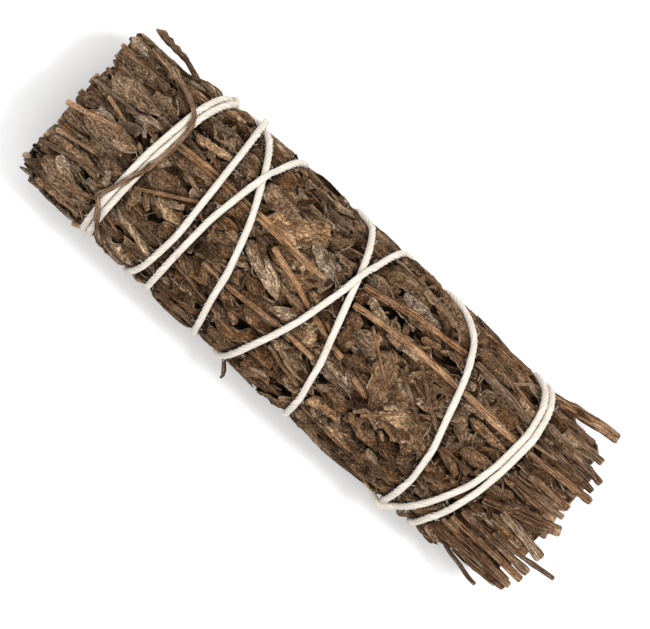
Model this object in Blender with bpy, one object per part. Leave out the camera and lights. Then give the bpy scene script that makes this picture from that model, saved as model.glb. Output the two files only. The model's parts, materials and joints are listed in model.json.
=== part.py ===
"""A dried sage bunch, rolled tight, bound with cotton string and lying on its side.

The bunch is nineteen leafy stems laid side by side: twelve outside, six inside them and one in the middle.
Each leafy stem is one object, its leaves and twigs grown out of it. One string is wound round all of them,
from the knot to the stem end and back, and a bent twig is caught over it.

+X runs along the bunch towards the cut stem ends, +Z is up, and the origin is the middle of the flat spot
that the bunch rests on. A place on the bunch is given as x, an angle from straight up towards +Y, and a
radius from the bunch's axis. A lane is the strip of the outside that one outer stem fills.
"""

import math
import random

import bmesh
import bpy
import numpy as np
from mathutils import Vector
from mathutils.bvhtree import BVHTree

MM = 0.001
SEED = 1907

# The bunch
AXIS_HEIGHT = 15.0 * MM
BOUND_RADIUS = 15.35 * MM
LEAFY_END = -49.5 * MM
STEM_END = 46.5 * MM
END_SCATTER = 1.3 * MM
END_ROUNDING = 3.0 * MM
PIECE_GAP = 0.3 * MM

# How far below the string's centreline the pressed foliage and the surface stems stay, and how far leaves rise
CORE_DEPTH = 1.95 * MM
STEM_DEPTH = 1.5 * MM
LEAF_RISE = 0.85 * MM
FLOOR_CLEARANCE = 0.25 * MM
UNDERSIDE_PRESS = 0.4 * MM

# The cotton string
STRING_RADIUS = 0.75 * MM
STRING_STEPS_PER_TURN = 14
CROSSING_CLEARANCE = 0.12 * MM
LOOSENING_ROUNDS = 8
CROSSING_SLOPE = 0.45
SMOOTHING_DEGREES = 9
LEAF_TO_STRING = 0.3 * MM
KNOT = (140, -30.2, 0.7)
KNOT_RADIUS = 1.9 * MM

# The leafy stems
OUTER_STEMS = 12
INNER_STEMS = 6
OUTER_RING_INSIDE = 9.7 * MM
INNER_RING_OUTSIDE = 9.3 * MM
INNER_RING_INSIDE = 3.7 * MM
MIDDLE_RADIUS = 3.2 * MM
LANE_SWAY = math.radians(4)
LANE_SWAY_LENGTH = 95 * MM
RIDGE_HEIGHT = 0.45 * MM
CORE_STATIONS = 9
STEM_SIDES_STEP = 1

# The leaves of the outer stems
LEAF_LENGTHS = (8.0 * MM, 12.5 * MM)
LEAF_SLENDERNESS = (0.34, 0.46)
LEAF_THICKNESS = 0.9 * MM
LEAF_YAW = math.radians(30)
LEAF_LIE = 0.35 * MM
LEAF_ROOT = 3.0 * MM
LEAF_SPACING = 5.1 * MM
LEAVES_PER_STEM = 11
LEAF_TRIES = 2500

# The string's route: one list for each turn, as (degrees from the top towards +Y, millimetres along).
WINDING = (
    ((140, -30.2), (128, -31.5), (110, -33.0), (90, -33.3), (45, -35.5), (0, -36.9), (-45, -37.2),
     (-90, -37.0),
     (-135, -36.6), (-180, -36.1), (-225, -35.2), (-250, -33.4)),
    ((90, -31.2), (45, -33.7), (0, -35.1), (-45, -35.4), (-90, -35.2), (-135, -34.8), (-180, -34.3),
     (-225, -33.6), (-252, -31.2)),
    ((90, -27.2), (74, -24.4), (35, -20.3), (10, -17.3), (-18, -14.9), (-62, -13.1), (-90, -12.7),
     (-120, -11.2), (-150, -10.2), (-180, -9.6), (-225, -8.4)),
    ((90, -6.0), (78, -3.0), (56, -1.2), (30, 0.9), (12, 2.3), (-22, 5.3), (-51, 6.6), (-90, 6.5),
     (-135, 7.0), (-180, 7.8), (-210, 8.6), (-240, 10.8)),
    ((90, 13.6), (78, 16.6), (54, 21.0), (28, 23.7), (5, 25.5), (-16, 27.3), (-40, 28.0), (-90, 26.9),
     (-135, 27.6), (-180, 28.5), (-210, 29.6), (-240, 32.8)),
    ((90, 34.6), (72, 36.2), (50, 37.6), (28, 38.3), (3, 37.9), (-17, 37.2), (-42, 35.6), (-61, 34.0),
     (-90, 32.6), (-135, 32.6), (-180, 32.4), (-225, 31.8)),
    ((90, 31.6), (72, 34.2), (50, 35.8), (28, 36.5), (3, 36.1), (-17, 35.1), (-42, 32.4), (-85, 27.6),
     (-100, 21.8), (-135, 18.2), (-180, 14.6), (-210, 12.4), (-240, 8.4)),
    ((90, 3.9), (50, 2.0), (30, 0.9), (15, 0.2), (-13, -1.6), (-48, -4.9), (-90, -7.6), (-120, -10.0),
     (-150, -12.0), (-180, -13.2), (-225, -15.2)),
    ((90, -17.4), (47, -19.9), (25, -21.2), (-3, -22.4), (-36, -22.8), (-80, -23.0), (-135, -23.3),
     (-180, -24.2), (-225, -25.2)),
    ((90, -26.5), (42, -25.7), (14, -25.2), (-23, -24.6), (-56, -25.4), (-90, -27.2), (-135, -27.9),
     (-180, -28.7), (-220, -30.2)),
)

# The string's two free tails beyond the knot: (degrees, millimetres along, millimetres above the string)
TAILS = (
    ((140, -30.2, 1.2), (140, -32.2, 2.2), (139, -34.4, 2.4), (136, -36.6, 2.1), (134, -38.6, 0.9),
     (135, -40.4, 0.2)),
    ((140, -30.2, 1.2), (132, -28.9, 1.4), (124, -28.2, 1.1), (116, -28.2, 0.7), (110, -28.5, 0.3)),
)

# A thin twig caught over the string: (degrees, millimetres along, millimetres above the string's radius)
BENT_TWIG_RADIUS = 0.5 * MM
BENT_TWIG = (
    (53, -42.6, 0.7), (48, -40.4, 0.9), (42, -38.0, 1.6), (36, -35.6, 1.75), (28, -33.2, 1.6),
    (16, -32.6, 0.9), (2, -33.0, 0.9), (-10, -33.4, 1.5), (-21, -35.4, 1.75), (-31, -38.2, 1.75),
    (-37, -39.4, 1.4), (-44, -37.8, 1.75), (-53, -35.2, 1.75), (-63, -32.6, 1.3), (-76, -30.6, 0.7),
)

# Two stems that stand clear: (degrees, millimetres along, millimetres above the string's radius, radius)
LONG_STEM = (
    (88, 16, -1.9, 0.8), (89, 24, -2.4, 0.9), (90, 33, -2.5, 1.0), (90, 37, -1.7, 1.1), (91, 43, -0.1, 1.1),
    (91, 48.2, 0.8, 1.2),
)
BUDDED_TWIG = ((86, -34, -2.6, 0.5), (88, -39, -1.4, 0.5), (89, -43.5, 0.0, 0.55), (90, -48.6, 0.8, 0.6))
BUDS = ((90, -43.8, 0.1, 0.85), (90, -46.2, 0.5, 0.85), (90, -48.6, 0.9, 0.9))

# Stems that lie bare in the outside: (millimetres along, degrees) at each end, and radius in millimetres
BARE_STEMS = (
    (-49.0, 33, -36.0, 28, 0.6), (-35.0, 22, -3.0, 21, 0.95), (-12.0, 9, 4.0, -9, 0.85),
    (-34.0, -21, -25.0, -18, 0.7), (-19.0, -26, 4.0, -24, 0.9), (3.0, 20, 36.5, 22, 1.0),
    (2.5, 33, 22.0, 41, 1.15), (23.0, 41, 40.0, 38, 1.15), (23.0, 61, 35.0, 52, 0.7),
    (-2.5, -37, 5.5, -41, 0.8), (6.0, -25, 12.5, -26, 0.7), (15.0, 7, 22.5, -8, 0.6),
    (35.0, -65, 50.4, -64, 1.25), (36.5, -49, 51.2, -50, 0.9), (37.2, -36, 51.2, -34, 0.9),
    (41.0, -19, 51.0, -22, 1.0), (44.0, -31, 54.8, -28, 0.55), (38.3, -9, 50.6, -2, 1.1),
    (41.0, 10, 49.6, 10, 1.0), (38.6, 24, 51.1, 24, 1.0), (38.4, 50, 50.2, 49, 1.0),
    (41.0, 56, 48.6, 57, 0.9), (-50.4, -11, -38.0, -9, 0.55), (-51.0, 18, -41.5, 19, 0.55),
    (-51.4, -6, -42.0, 2, 0.9), (-51.2, -38, -39.5, -27, 0.7), (-43.5, -56, -37.0, -49, 0.6),
    (-51.6, -62, -40.0, -68, 0.9), (-50.8, 48, -39.0, 52, 0.9), (-50.6, 64, -40.0, 62, 0.8),
    (-39.0, -88, -30.0, -82, 0.8),
)

# Large leaves of the upper side: (millimetres along, degrees, yaw in degrees, length and width in millimetres)
LARGE_LEAVES = (
    (-16.0, 21, 20, 11.0, 4.4), (-15.5, 2, -20, 10.3, 4.2), (-7.2, 31, -16, 8.0, 3.3),
    (-16.5, 66, -5, 11.0, 3.6), (-32.6, 32, 7, 7.0, 3.0), (-34.0, 55, 1, 8.5, 3.0),
    (9.0, 63, -14, 9.0, 3.6), (8.0, 40, 0, 8.0, 3.2), (16.5, 5, -158, 9.0, 4.2),
    (11.5, -27, -160, 7.0, 3.8), (14.5, -35, -12, 7.0, 4.4), (31.0, -3, 12, 6.0, 3.4),
    (22.5, -9, -20, 6.5, 3.2), (28.5, 10, 2, 7.7, 2.9), (29.5, 29, -3, 6.5, 3.2),
    (-22.0, -32, -3, 7.0, 4.0),
)

rng = random.Random(SEED)


def clear_scene():
    """Removes the startup scene's objects, so that only the bunch is left."""
    for obj in list(bpy.data.objects):
        bpy.data.objects.remove(obj)


def new_collection(name):
    """A collection linked to the scene."""
    collection = bpy.data.collections.new(name)
    bpy.context.scene.collection.children.link(collection)
    return collection


def material(name, colour, roughness):
    """A plain matt material."""
    mat = bpy.data.materials.new(name)
    mat.use_nodes = True
    shader = mat.node_tree.nodes["Principled BSDF"]
    shader.inputs["Base Color"].default_value = (*colour, 1.0)
    shader.inputs["Roughness"].default_value = roughness
    shader.inputs["Metallic"].default_value = 0.0
    return mat


def girth(x):
    """How thick the bunch is at x, against its bound radius: fuller in the middle, pinched at the two ties."""
    leafy_tie = 0.02 * math.exp(-(((x + 36 * MM) / (6 * MM)) ** 2))
    stem_tie = 0.025 * math.exp(-(((x - 36 * MM) / (7 * MM)) ** 2))
    return 1 + 0.02 * math.cos(math.pi * x / (80 * MM)) - leafy_tie - stem_tie


def bound_radius(x, angle):
    """The radius of the string's centreline: round, and flat underneath where the bunch rests on its string."""
    radius = BOUND_RADIUS * girth(x)
    down = -math.cos(angle)
    if down > 0.5:
        radius = min(radius, (AXIS_HEIGHT - STRING_RADIUS) / down)
    return radius


def pressed_radius(x, angle):
    """The string's radius as the foliage sees it: pressed deeper underneath, where the weight rests."""
    down = min(1.0, max(0.0, (-math.cos(angle) - 0.6) / 0.25))
    return bound_radius(x, angle) - UNDERSIDE_PRESS * down


def place(x, angle, radius):
    """The point at x, angle and radius, kept on or above the surface that the bunch rests on."""
    return Vector((x, radius * math.sin(angle), max(0.0, AXIS_HEIGHT + radius * math.cos(angle))))


def on_bunch(x, angle, rise):
    """The point that lies this far outside the string's radius."""
    return place(x, angle, bound_radius(x, angle) + rise)


def lane_edge(k, x):
    """The angle of the border between two neighbouring outer stems."""
    sway = LANE_SWAY * math.sin(2 * math.pi * x / LANE_SWAY_LENGTH + 8 * math.pi * k / OUTER_STEMS)
    return math.pi * (2 * k - 1) / OUTER_STEMS + sway


def lane_angle(k, x, share):
    """The angle a share of the way across a lane."""
    return lane_edge(k, x) + share * (lane_edge(k + 1, x) - lane_edge(k, x))


def lane_share(k, x, angle):
    """How far across a lane an angle lies, from 0 to 1 within the lane."""
    turned = (angle - lane_edge(k, x) + math.pi) % (2 * math.pi) - math.pi
    return turned / (lane_edge(k + 1, x) - lane_edge(k, x))


def noise(seed, *at):
    """A soft wave of three sines between -1 and 1, different for each seed."""
    total = 0.0
    for step in range(1, 4):
        total += math.sin(sum(a * (0.7 + 0.45 * step) for a in at) * step + seed * (1.3 + step))
    return total / 3


# ---- meshes ----


def mesh_object(name, bm, collection):
    """The object made from a closed bmesh, its faces pointing out."""
    bmesh.ops.recalc_face_normals(bm, faces=bm.faces)
    if bm.calc_volume(signed=True) < 0:
        bmesh.ops.reverse_faces(bm, faces=bm.faces)
    mesh = bpy.data.meshes.new(name)
    bm.to_mesh(mesh)
    bm.free()
    obj = bpy.data.objects.new(name, mesh)
    collection.objects.link(obj)
    return obj


def loft(name, rings, collection):
    """A closed body through rings that each have the same number of points."""
    bm = bmesh.new()
    loops = [[bm.verts.new(point) for point in ring] for ring in rings]
    count = len(loops[0])
    for near, far in zip(loops, loops[1:]):
        for i in range(count):
            j = (i + 1) % count
            bm.faces.new((near[i], near[j], far[j], far[i]))
    bm.faces.new(loops[0])
    bm.faces.new(list(reversed(loops[-1])))
    bmesh.ops.triangulate(bm, faces=bm.faces)
    return mesh_object(name, bm, collection)


def tube(name, points, radii, sides_step, collection):
    """A round rod through the points, made from a bevelled curve with filled caps."""
    curve = bpy.data.curves.new(name, "CURVE")
    curve.dimensions = "3D"
    curve.bevel_depth = 1.0
    curve.bevel_resolution = sides_step
    curve.use_fill_caps = True
    spline = curve.splines.new("POLY")
    spline.points.add(len(points) - 1)
    for target, point, radius in zip(spline.points, points, radii):
        target.co = (*point, 1.0)
        target.radius = radius
    rod = bpy.data.objects.new(name + "_curve", curve)
    collection.objects.link(rod)
    bpy.context.view_layer.update()
    mesh = bpy.data.meshes.new_from_object(rod.evaluated_get(bpy.context.evaluated_depsgraph_get()))
    bm = bmesh.new()
    bm.from_mesh(mesh)
    bmesh.ops.remove_doubles(bm, verts=bm.verts, dist=1e-6)
    obj = mesh_object(name, bm, collection)
    obj.matrix_world = rod.matrix_world
    bpy.data.objects.remove(rod)
    bpy.data.meshes.remove(mesh)
    return obj


def ball(name, centre, radius, collection):
    """A small rounded bud or knot."""
    bm = bmesh.new()
    bmesh.ops.create_uvsphere(bm, u_segments=6, v_segments=4, radius=radius)
    bmesh.ops.translate(bm, verts=bm.verts, vec=centre)
    return mesh_object(name, bm, collection)


def fuse(body, extras):
    """Joins the extras into the body with one Boolean union, and removes them."""
    if not extras:
        return body
    joined = bpy.data.collections.new(body.name + "_parts")
    for obj in extras:
        joined.objects.link(obj)
    union = body.modifiers.new("union", "BOOLEAN")
    union.operation = "UNION"
    union.solver = "MANIFOLD"
    union.operand_type = "COLLECTION"
    union.collection = joined
    bpy.context.view_layer.update()
    graph = bpy.context.evaluated_depsgraph_get()
    mesh = bpy.data.meshes.new_from_object(body.evaluated_get(graph))
    body.modifiers.clear()
    body.data = mesh
    for obj in extras:
        bpy.data.objects.remove(obj)
    bpy.data.collections.remove(joined)
    keep_largest(body)
    return body


def keep_largest(obj):
    """Drops any loose scrap that the union left beside the body."""
    bm = bmesh.new()
    bm.from_mesh(obj.data)
    bm.verts.ensure_lookup_table()
    unseen = set(bm.verts)
    groups = []
    while unseen:
        group = {unseen.pop()}
        edge = list(group)
        while edge:
            for link in edge.pop().link_edges:
                for vert in link.verts:
                    if vert in unseen:
                        unseen.discard(vert)
                        group.add(vert)
                        edge.append(vert)
        groups.append(group)
    groups.sort(key=len)
    for group in groups[:-1]:
        bmesh.ops.delete(bm, geom=list(group), context="VERTS")
    bmesh.ops.dissolve_verts(bm, verts=[vert for vert in bm.verts if len(vert.link_edges) == 2])
    bmesh.ops.triangulate(bm, faces=bm.faces)
    bm.to_mesh(obj.data)
    bm.free()


# ---- the string ----


def winding_line():
    """The string's centreline from knot to knot, each crossing raised over the strand below."""
    angles, places = [], []
    for turn, stops in enumerate(WINDING):
        for degrees, x in stops:
            angles.append(degrees - 360 * turn)
            places.append(x * MM)
    fine = np.arange(angles[0], angles[-1] - 0.5, -1.0)
    x = np.interp(-fine, -np.array(angles, float), places)
    kernel = np.hanning(2 * SMOOTHING_DEGREES + 1)
    x = np.convolve(np.pad(x, SMOOTHING_DEGREES, mode="edge"), kernel / kernel.sum(), mode="valid")
    rise, crossings = crossing_rise(np.array([on_bunch(a, math.radians(b), 0.0) for a, b in zip(x, fine)]))
    line = [on_bunch(a, math.radians(b), c) for a, b, c in zip(x, fine, rise)]
    for point in line:
        point.z = max(point.z, STRING_RADIUS)
    step = 360 / STRING_STEPS_PER_TURN
    even = [round(i * step) for i in range(int((len(line) - 1) / step) + 1)] + [len(line) - 1]
    picks = crossings + [i for i in even if all(abs(i - c) > step / 3 for c in crossings)]
    return loosen([line[i] for i in sorted(set(picks))])


def segment_gap(start_a, end_a, start_b, end_b):
    """The shortest distance between two straight pieces of string."""
    a, b, r = end_a - start_a, end_b - start_b, start_a - start_b
    aa, ab, bb, ar, br = a.dot(a), a.dot(b), b.dot(b), a.dot(r), b.dot(r)
    across = aa * bb - ab * ab
    s = min(1.0, max(0.0, (ab * br - ar * bb) / across)) if across > 1e-18 else 0.0
    t = min(1.0, max(0.0, (ab * s + br) / bb))
    s = min(1.0, max(0.0, (ab * t - ar) / aa))
    return (start_a + s * a - start_b - t * b).length


def loosen(line):
    """Lifts a strand a little further wherever its straight pieces still come too near an earlier strand."""
    room = 2 * STRING_RADIUS + CROSSING_CLEARANCE / 2
    for _ in range(LOOSENING_ROUNDS):
        for j in range(4, len(line) - 1):
            for i in range(j - 3):
                if abs(line[i].x - line[j].x) > 6 * room:
                    continue
                short = room - segment_gap(line[i], line[i + 1], line[j], line[j + 1])
                if short > 0:
                    for end in (line[j], line[j + 1]):
                        outward = Vector((0.0, end.y, end.z - AXIS_HEIGHT)).normalized()
                        end += 0.6 * short * outward
                        end.z = max(end.z, STRING_RADIUS)
    return line


def crossing_rise(flat):
    """How far each point of the string is lifted to pass over strands wound before it, and where they cross."""
    along = np.concatenate([[0], np.cumsum(np.linalg.norm(np.diff(flat, axis=0), axis=1))])
    reach = 2 * STRING_RADIUS + CROSSING_CLEARANCE
    needed = np.zeros(len(flat))
    below = np.zeros(len(flat), int)
    for i in range(len(flat)):
        earlier = flat[along < along[i] - 8 * reach]
        if len(earlier):
            distances = np.linalg.norm(earlier - flat[i], axis=1)
            below[i] = distances.argmin()
            needed[i] = math.sqrt(max(0.0, reach**2 - distances.min() ** 2))
    lifts = needed.copy()
    crossings = []
    for i in np.nonzero(needed)[0]:
        lifts = np.maximum(lifts, needed[i] - CROSSING_SLOPE * np.abs(along - along[i]))
        nearby = needed[max(0, i - 5):i + 6]
        if needed[i] == nearby.max() and needed[i] > 0.9 * reach:
            crossings += [int(i), int(below[i])]
    return lifts, crossings


def string_parts(radius, collection):
    """The wound string, its two tails and its knot, as separate bodies with the given string radius."""
    line = winding_line()
    parts = [tube("binding_string", line, [radius] * len(line), 2, collection)]
    for tail in TAILS:
        points = [on_bunch(x * MM, math.radians(a), rise * MM) for a, x, rise in tail]
        parts.append(tube("tail", points, [radius] * len(points), 2, collection))
    angle, x, rise = KNOT
    centre = on_bunch(x * MM, math.radians(angle), rise * MM)
    parts.append(ball("knot", centre, KNOT_RADIUS + radius - STRING_RADIUS, collection))
    return parts


def make_string(collection):
    """The wound string with its knot and two tails, as one body."""
    body, *extras = string_parts(STRING_RADIUS, collection)
    fuse(body, extras).data.materials.append(material("cotton", (0.78, 0.70, 0.58), 0.9))


def make_bent_twig(collection, bark):
    """The thin twig that is caught over the string at the leafy tie."""
    points = [on_bunch(x * MM, math.radians(a), rise * MM) for a, x, rise in BENT_TWIG]
    radii = [BENT_TWIG_RADIUS * (1.15 - 0.3 * i / len(points)) for i in range(len(points))]
    twig = tube("bent_twig", points, radii, 1, collection)
    twig.data.materials.append(bark)
    return twig


# ---- the leafy stems ----


def leafy_end(radius, number):
    """Where a stem's foliage ends on the leafy side: the end of the bunch is a little rounded."""
    inside = 1 - (radius / BOUND_RADIUS) ** 2
    return LEAFY_END - END_ROUNDING * inside * 0.5 + END_SCATTER * noise(number, 1.7 * number)


def stem_end(number, angle):
    """Where a stem's foliage ends on the cut side. It is shorter beside the long stem."""
    beside_long_stem = 5.5 * MM * math.exp(-(((angle - math.pi / 2) / 0.42) ** 2))
    return STEM_END - beside_long_stem + END_SCATTER * noise(number + 9, 2.3 * number)


def lane_middle(k):
    """The middle angle of a lane."""
    return 2 * math.pi * k / OUTER_STEMS


def outer_core(k, name, collection):
    """The pressed foliage of one outer leafy stem: a wedge with two ridges along it, and wandering sides."""
    rings = []
    for x in np.linspace(leafy_end(BOUND_RADIUS, k), stem_end(k, lane_middle(k)), CORE_STATIONS):
        start, end = lane_edge(k, x), lane_edge(k + 1, x)
        profile = [(OUTER_RING_INSIDE, share) for share in (0.0, 0.5, 1.0)]
        wander = 0.06 * noise(k + 3, x / (9 * MM))
        ridges = ((1.0, -1.0), (0.74 + wander, 0.5), (0.5, -0.9), (0.26 + wander, 0.5), (0.0, -1.0))
        for share, ridge in ridges:
            outside = pressed_radius(x, start + share * (end - start)) - CORE_DEPTH
            bump = ridge + 0.5 * noise(k, x / (5 * MM), 9 * share) - 0.5
            profile.append((outside + RIDGE_HEIGHT * bump, share))
        points = []
        for radius, share in profile:
            gap = PIECE_GAP / 2 / radius
            points.append(place(x, start + gap + share * (end - start - 2 * gap), radius))
        rings.append(points)
    return loft(name, rings, collection)


def sector_core(number, name, collection):
    """The pressed foliage of an inner leafy stem: a sector of a ring."""
    rings = []
    start = 2 * math.pi * number / INNER_STEMS
    end = 2 * math.pi * (number + 1) / INNER_STEMS
    for x in (leafy_end(INNER_RING_OUTSIDE, number + 20), stem_end(number + 20, math.pi)):
        points = []
        sides = ((INNER_RING_INSIDE, (0.0, 0.5, 1.0)), (INNER_RING_OUTSIDE, (1.0, 0.75, 0.5, 0.25, 0.0)))
        for radius, shares in sides:
            gap = PIECE_GAP / 2 / radius
            points += [place(x, start + gap + share * (end - start - 2 * gap), radius) for share in shares]
        rings.append(points)
    return loft(name, rings, collection)


def round_core(name, collection):
    """The pressed foliage of the middle leafy stem."""
    rings = []
    for x in (leafy_end(0, 31), stem_end(31, math.pi)):
        rings.append([place(x, 2 * math.pi * i / 8, MIDDLE_RADIUS) for i in range(8)])
    return loft(name, rings, collection)


def leaf_body(k, x, angle, yaw, length, width, name, collection):
    """One blade rooted in the foliage, its tip free, or None where it would leave its lane."""
    fold = rng.uniform(-0.3, 0.35)
    droop = rng.uniform(0.0, 0.9) * MM
    bm = bmesh.new()
    bmesh.ops.create_uvsphere(bm, u_segments=4, v_segments=4, radius=1.0)
    for vert in bm.verts:
        share = (vert.co.z + 1) / 2
        across = vert.co.x * width / 2 * (0.75 + 0.4 * share)
        rise = -LEAF_LIE - LEAF_ROOT * (1 - min(1.0, share / 0.55)) ** 1.6 - droop * share**3
        rise += fold * abs(across) + vert.co.y * LEAF_THICKNESS / 2
        along = share * length
        here_x = x + along * math.cos(yaw) - across * math.sin(yaw)
        here_angle = angle + (along * math.sin(yaw) + across * math.cos(yaw)) / BOUND_RADIUS
        room = 0.35 * MM / BOUND_RADIUS / (lane_edge(k + 1, here_x) - lane_edge(k, here_x))
        beside = room < lane_share(k, here_x, here_angle) < 1 - room
        if not beside or not LEAFY_END - 2 * MM < here_x < STEM_END:
            bm.free()
            return None
        vert.co = on_bunch(here_x, here_angle, min(rise, LEAF_RISE))
        vert.co.z = max(vert.co.z, FLOOR_CLEARANCE)
    return mesh_object(name, bm, collection)


def tree_of(obj):
    """A search tree of the object's faces."""
    bm = bmesh.new()
    bm.from_mesh(obj.data)
    tree = BVHTree.FromBMesh(bm)
    bm.free()
    return tree


def keep_leaf(leaf, kept, obstacles, spacing):
    """Keeps a leaf that is clear of the string and not on top of another; removes it otherwise."""
    if leaf is None:
        return False
    centre = sum((vert.co for vert in leaf.data.vertices), Vector()) / len(leaf.data.vertices)
    tree = tree_of(leaf)
    crowded = any((centre - other).length < spacing for _, other in kept)
    if crowded or any(tree.overlap(other) for other in obstacles):
        bpy.data.objects.remove(leaf)
        return False
    kept.append((leaf, centre))
    return True


def outer_leaves(k, obstacles, collection):
    """The leaves of one outer stem: the large ones first, then others spread along it."""
    kept = []
    for number, (x, degrees, yaw, length, width) in enumerate(LARGE_LEAVES):
        if 0 < lane_share(k, x * MM, math.radians(degrees)) < 1:
            for shrink in (1.0, 0.9, 0.8, 0.7):
                leaf = leaf_body(k, x * MM, math.radians(degrees), math.radians(yaw), length * shrink * MM,
                                 width * shrink * MM, f"large_leaf_{number}", collection)
                if keep_leaf(leaf, kept, obstacles, 0.0):
                    break
    for _ in range(LEAF_TRIES):
        if len(kept) >= LEAVES_PER_STEM:
            break
        x = rng.uniform(LEAFY_END, STEM_END)
        yaw = rng.uniform(-LEAF_YAW, LEAF_YAW) + (math.pi if rng.random() < 0.4 else 0.0)
        length = rng.uniform(*LEAF_LENGTHS)
        width = length * rng.uniform(*LEAF_SLENDERNESS)
        angle = lane_angle(k, x, rng.uniform(0.15, 0.85))
        leaf = leaf_body(k, x, angle, yaw, length, width, f"leaf_{k}_{len(kept)}", collection)
        keep_leaf(leaf, kept, obstacles, LEAF_SPACING)
    return [leaf for leaf, _ in kept]


def bare_stem(k, start, end, radius, name, collection):
    """A straight stem in the outside of a lane, from (x, share) to (x, share)."""
    points = []
    for x, share in (start, end):
        share = min(0.86, max(0.14, share))
        angle = lane_angle(k, x, share)
        points.append(place(x, angle, pressed_radius(x, angle) - STEM_DEPTH - radius))
    return tube(name, points, [radius, radius * 0.92], STEM_SIDES_STEP, collection)


def outer_twigs(k, collection):
    """The bare stems of an outer lane: those chosen by hand, or a few by rule where none were chosen."""
    twigs = []
    for number, (x0, degrees0, x1, degrees1, radius) in enumerate(BARE_STEMS):
        start = (x0 * MM, lane_share(k, x0 * MM, math.radians(degrees0)))
        end = (x1 * MM, lane_share(k, x1 * MM, math.radians(degrees1)))
        if 0 < (start[1] + end[1]) / 2 < 1:
            twigs.append(bare_stem(k, start, end, radius * MM, f"bare_stem_{number}", collection))
    if not twigs:
        for number, share in enumerate((0.25, 0.72)):
            cut = (STEM_END + rng.uniform(1.5, 4.5) * MM, share)
            tip = (LEAFY_END - rng.uniform(0.6, 2.0) * MM, 1 - share)
            radius = rng.uniform(0.8, 1.15) * MM
            cut_inner = (rng.uniform(12, 26) * MM, share + 0.1)
            tip_inner = (rng.uniform(-36, -24) * MM, 0.9 - share)
            twigs.append(bare_stem(k, cut_inner, cut, radius, f"cut_stem_{k}_{number}", collection))
            twigs.append(bare_stem(k, tip_inner, tip, radius, f"tip_stem_{k}_{number}", collection))
    return twigs


def set_stem(name, stops, collection):
    """A stem through stops given as degrees, millimetres along, rise and radius."""
    points = [on_bunch(x * MM, math.radians(a), rise * MM) for a, x, rise, _ in stops]
    return tube(name, points, [radius * MM for *_, radius in stops], STEM_SIDES_STEP, collection)


def inner_twigs(label, places, collection):
    """The cut twigs of an inner leafy stem, standing out at both ends of the bunch."""
    twigs = []
    for number, (angle, radius) in enumerate(places):
        thickness = rng.uniform(0.95, 1.35) * MM
        leafy_tip = leafy_end(radius, number) - rng.uniform(0.8, 2.2) * MM
        stem_tip = STEM_END + rng.uniform(2.0, 5.0) * MM
        for end in (leafy_tip, stem_tip):
            points = [place(end - math.copysign(8 * MM, end), angle, radius), place(end, angle, radius)]
            twigs.append(tube(f"twig_{label}_{number}", points, [thickness] * 2, STEM_SIDES_STEP, collection))
    return twigs


def rest_leaf(collection):
    """The leaf pressed flat against the surface that the bunch rests on, its flat underside at the origin."""
    bm = bmesh.new()
    bmesh.ops.create_cone(bm, segments=8, radius1=1.0, radius2=0.7, depth=1.0, cap_ends=True)
    for vert in bm.verts:
        upper = vert.co.z > 0
        vert.co = Vector((vert.co.x * 4.5 * MM, vert.co.y * 2.2 * MM, 3.6 * MM if upper else 0.0))
    return mesh_object("rest_leaf", bm, collection)


def extra_stems(k, collection):
    """The stems that stand clear of the bunch, for the lane that they grow in."""
    extras = []
    if 0 < lane_share(k, 40 * MM, math.radians(90)) < 1:
        extras.append(set_stem("long_stem", LONG_STEM, collection))
    if 0 < lane_share(k, -42 * MM, math.radians(88)) < 1:
        extras.append(set_stem("budded_twig", BUDDED_TWIG, collection))
        for number, (angle, x, rise, radius) in enumerate(BUDS):
            centre = on_bunch(x * MM, math.radians(angle), rise * MM)
            extras.append(ball(f"bud_{number}", centre, radius * MM, collection))
    return extras


def make_leafy_stems(collection, obstacles, foliage):
    """All nineteen leafy stems."""
    for k in range(OUTER_STEMS):
        body = outer_core(k, f"leafy_stem_{k + 1:02d}", collection)
        extras = outer_twigs(k, collection) + extra_stems(k, collection)
        if 0 < lane_share(k, 0.0, math.pi) < 1:
            extras.append(rest_leaf(collection))
        extras += outer_leaves(k, obstacles, collection)
        fuse(body, extras).data.materials.append(foliage)
    for number in range(INNER_STEMS):
        name = f"inner_stem_{number + 1}"
        body = sector_core(number, name, collection)
        spots = ((0.3, 7.2), (0.7, 6.2))
        places = [(2 * math.pi * (number + share) / INNER_STEMS, r * MM) for share, r in spots]
        fuse(body, inner_twigs(name, places, collection)).data.materials.append(foliage)
    body = round_core("middle_stem", collection)
    fuse(body, inner_twigs("middle", [(0.0, 0.4 * MM)], collection)).data.materials.append(foliage)


def string_rooms(collection):
    """Search trees of the space that leaves leave free round the string, its tails and its knot."""
    rooms = string_parts(STRING_RADIUS + LEAF_TO_STRING, collection)
    trees = [tree_of(room) for room in rooms]
    for room in rooms:
        bpy.data.objects.remove(room)
    return trees


def main():
    """Builds the bunch."""
    clear_scene()
    bunch = new_collection("sage_bunch")
    foliage = material("dried_leaf", (0.16, 0.10, 0.06), 0.9)
    bark = material("bark", (0.20, 0.12, 0.07), 0.85)
    make_string(bunch)
    twig = make_bent_twig(bunch, bark)
    obstacles = string_rooms(bunch) + [tree_of(twig)]
    make_leafy_stems(bunch, obstacles, foliage)


main()
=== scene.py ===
"""A dried sage bunch bound with cotton string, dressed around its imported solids.

The bunch lies along X, its leafy end at -X and its cut stem ends at +X, and rests on its string at z = 0.
Leaves and stems are first laid out flat: along the bunch, round it, and up from the string's own radius. They
are pressed under the string there, and the whole sheet is then rolled round the bunch. Sizes are in metres.
"""

import json
import logging
import math
import random
from collections.abc import Callable, Mapping, Sequence
from dataclasses import dataclass
from enum import Enum
from typing import Any

import bmesh
import bpy
import numpy as np
from mathutils import Matrix, Vector, noise

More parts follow.
